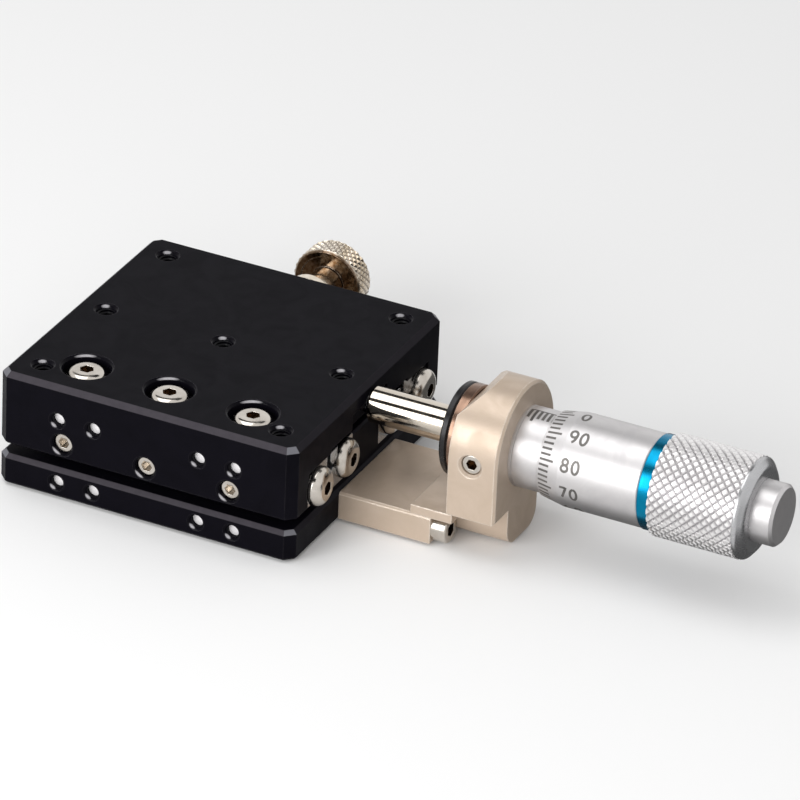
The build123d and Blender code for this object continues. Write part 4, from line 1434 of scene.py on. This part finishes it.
@dataclass(frozen=True)
class PhotoCamera:
    """The camera at the photograph's place, fitted to the holes, edges and the spindle's axis."""

    azimuth: float = 25.144
    elevation: float = 29.151
    roll: float = 2.467
    distance: float = 1471.8
    shift_right: float = 33.299
    shift_up: float = -11.084
    focal_pixels: float = 7814.4
    frame_pixels: float = 800.0
    sensor: float = 36.0
    target_height: float = 23.7

    def build(self) -> bpy.types.Object:
        """Make the camera and use it."""
        a, e, r = (math.radians(v) for v in (self.azimuth, self.elevation, self.roll))
        back = np.array([math.sin(a) * math.cos(e), -math.cos(a) * math.cos(e), math.sin(e)])
        side = np.array([math.cos(a), math.sin(a), 0.0])
        over = np.cross(back, side)
        right = math.cos(r) * side + math.sin(r) * over
        up = -math.sin(r) * side + math.cos(r) * over
        place = back * self.distance + right * self.shift_right + up * self.shift_up
        place += np.array([0.0, 0.0, self.target_height])
        lens = bpy.data.cameras.new("photo camera")
        lens.sensor_width = self.sensor
        lens.lens = self.focal_pixels / self.frame_pixels * self.sensor
        lens.clip_start, lens.clip_end = 0.05, 20.0
        camera = bpy.data.objects.new("photo camera", lens)
        bpy.context.scene.collection.objects.link(camera)
        turn = Matrix((Vector(right), Vector(up), Vector(back))).transposed().to_4x4()
        camera.matrix_world = Matrix.Translation(Vector(place * MM)) @ turn
        bpy.context.scene.camera = camera
        return camera


LAMP_CENTRE = Vector((0.06, 0.0, 0.019))
LAMP_AIM = Vector((0.05, 0.0, 0.015))


@dataclass(frozen=True)
class Softbox:
    """A square area lamp that looks at the object.

    Its direction is given as the round pieces see it: by the angle about X from the front, in
    the family of directions that they mirror to the camera.
    """

    name: str
    angle: float
    distance: float
    size: float
    power: float
    lean: float = -0.368
    mirrored: bool = True

    def place(self) -> Vector:
        """The lamp's place in metres."""
        side = math.sqrt(1 - self.lean**2)
        angle = math.radians(self.angle)
        way = Vector((self.lean, -side * math.cos(angle), side * math.sin(angle)))
        return LAMP_CENTRE + way * self.distance

    def aim(self, thing: bpy.types.Object) -> None:
        """Turn an object at this place toward the micrometer."""
        thing.location = self.place()
        gaze = LAMP_AIM - self.place()
        thing.rotation_euler = gaze.to_track_quat("-Z", "Y").to_euler()

    def build(self) -> None:
        """Make the lamp."""
        data = bpy.data.lights.new(self.name, "AREA")
        data.shape, data.size, data.energy = "SQUARE", self.size, self.power
        lamp = bpy.data.objects.new(self.name, data)
        bpy.context.scene.collection.objects.link(lamp)
        self.aim(lamp)
        lamp.visible_glossy = self.mirrored


def flat_sheet(name: str, corners: Sequence[Place], paint: str, shade: float,
               rough: float) -> bpy.types.Object:
    """Make a flat sheet of the surroundings.

    Args:
        name: The sheet's name.
        corners: Its four corners in metres.
        paint: Name of its paint.
        shade: Grey of the paint.
        rough: Roughness of the paint.

    Returns:
        The new object.
    """
    mesh = bpy.data.meshes.new(name)
    mesh.from_pydata(corners, [], [(0, 1, 2, 3)])
    made = bpy.data.objects.new(name, mesh)
    bpy.context.scene.collection.objects.link(made)
    cover = bpy.data.materials.new(paint)
    cover.use_nodes = True
    inputs = {"Base Color": (shade,) * 3, "Roughness": rough, "Specular IOR Level": 0.0}
    Graph(cover.node_tree).principled(inputs)
    mesh.materials.append(cover)
    return made


def rectangle(low: tuple[float, float], high: tuple[float, float],
              height: float) -> tuple[Place, ...]:
    """Corners of a level rectangle between two corners, in metres."""
    ends = ((low[0], low[1]), (high[0], low[1]), (high[0], high[1]), (low[0], high[1]))
    return tuple((x, y, height) for x, y in ends)


@dataclass(frozen=True)
class Card:
    """A dark sheet which only mirrors see, a painted dark reflection: a card beside the lamps, or
    painted floor shade.
    """

    name: str
    corners: tuple[Place, ...]
    shade: float = 0.03

    @classmethod
    def across(cls, name: str, low: float, high: float, distance: float = 0.5,
               reach: float = 0.3) -> "Card":
        """A card between two angles about X, seen as the lamps are.

        Args:
            name: The card's name.
            low: Angle of its lower edge.
            high: Angle of its upper edge.
            distance: Distance from the micrometer.
            reach: Half its length along X.

        Returns:
            The card.
        """
        ends = [Softbox(name, angle, distance, 0.0, 0.0).place() for angle in (low, high)]
        corners = [(end.x + way * reach, end.y, end.z) for end, way in
                   ((ends[0], -1), (ends[0], 1), (ends[1], 1), (ends[1], -1))]
        return cls(name, tuple(corners))

    def build(self) -> None:
        """Make the card, unseen by the camera and without a shadow."""
        made = flat_sheet(self.name, self.corners, self.name, self.shade, 0.9)
        made.visible_camera = False
        made.visible_shadow = False
        made.visible_diffuse = False
        made.visible_transmission = False


@dataclass(frozen=True)
class Studio:
    """Pale floor, white background and soft light."""

    ambient: float = 0.6
    reach: float = 3.0
    boxes: tuple[Softbox, ...] = (
        Softbox("front box", angle=22.0, distance=0.85, size=0.49, power=3.6),
        Softbox("top box", angle=84.0, distance=0.75, size=0.48, power=1.5),
        Softbox("front fill", angle=14.0, distance=0.7, size=0.4, power=1.6, lean=0.22,
                mirrored=False),
    )
    # Dark sheets for reflections only: painted dark reflections beside the lamps, and painted shade
    # on the floor under and behind the micrometer.
    cards: tuple[Card, ...] = (
        Card("painted floor shade behind", rectangle((0.036, 0.02), (0.9, 1.0), 0.0002), shade=0.16),
        Card("painted floor shade below", rectangle((0.0635, -0.014), (0.9, 0.02), 0.0002), shade=0.16),
        Card.across("front card", 43.0, 62.0),
        Card.across("rear card", 107.0, 128.0),
    )

    def floor(self) -> None:
        """A plain pale floor that keeps the object's shadow."""
        corners = rectangle((-self.reach, -self.reach), (self.reach, self.reach), -0.0004)
        made = flat_sheet("floor", corners, "pale floor", 0.9, 0.7)

    def world(self) -> None:
        """White to the camera and to reflections, and a lower level for the light itself."""
        world = bpy.data.worlds.new("studio")
        bpy.context.scene.world = world
        world.use_nodes = True
        graph = Graph(world.node_tree)
        path = graph.add("ShaderNodeLightPath")
        seen = graph.maths("MAXIMUM", path.outputs["Is Camera Ray"], path.outputs["Is Glossy Ray"])
        seen = graph.maths("MAXIMUM", seen, path.outputs["Is Transmission Ray"])
        strength = graph.span(seen, 0.0, 1.0, self.ambient, 1.0)
        inputs = {"Color": (1.0, 1.0, 1.0), "Strength": strength}
        light = graph.add("ShaderNodeBackground", inputs).outputs["Background"]
        out = graph.add("ShaderNodeOutputWorld")
        graph.feed(out.inputs["Surface"], light)

    def build(self) -> None:
        """Set up the picture's surroundings."""
        self.world()
        self.floor()
        for piece in self.boxes + self.cards:
            piece.build()
        bpy.context.scene.view_settings.view_transform = "Standard"


def main() -> None:
    """Build the looks in order."""
    logging.basicConfig(level=logging.INFO, format="%(name)s: %(message)s")
    Stage().build()
    MicrometerHead().build()
    ClampKnob().build()
    Studio().build()
    PhotoCamera().build()


if __name__ == "__main__":
    main()
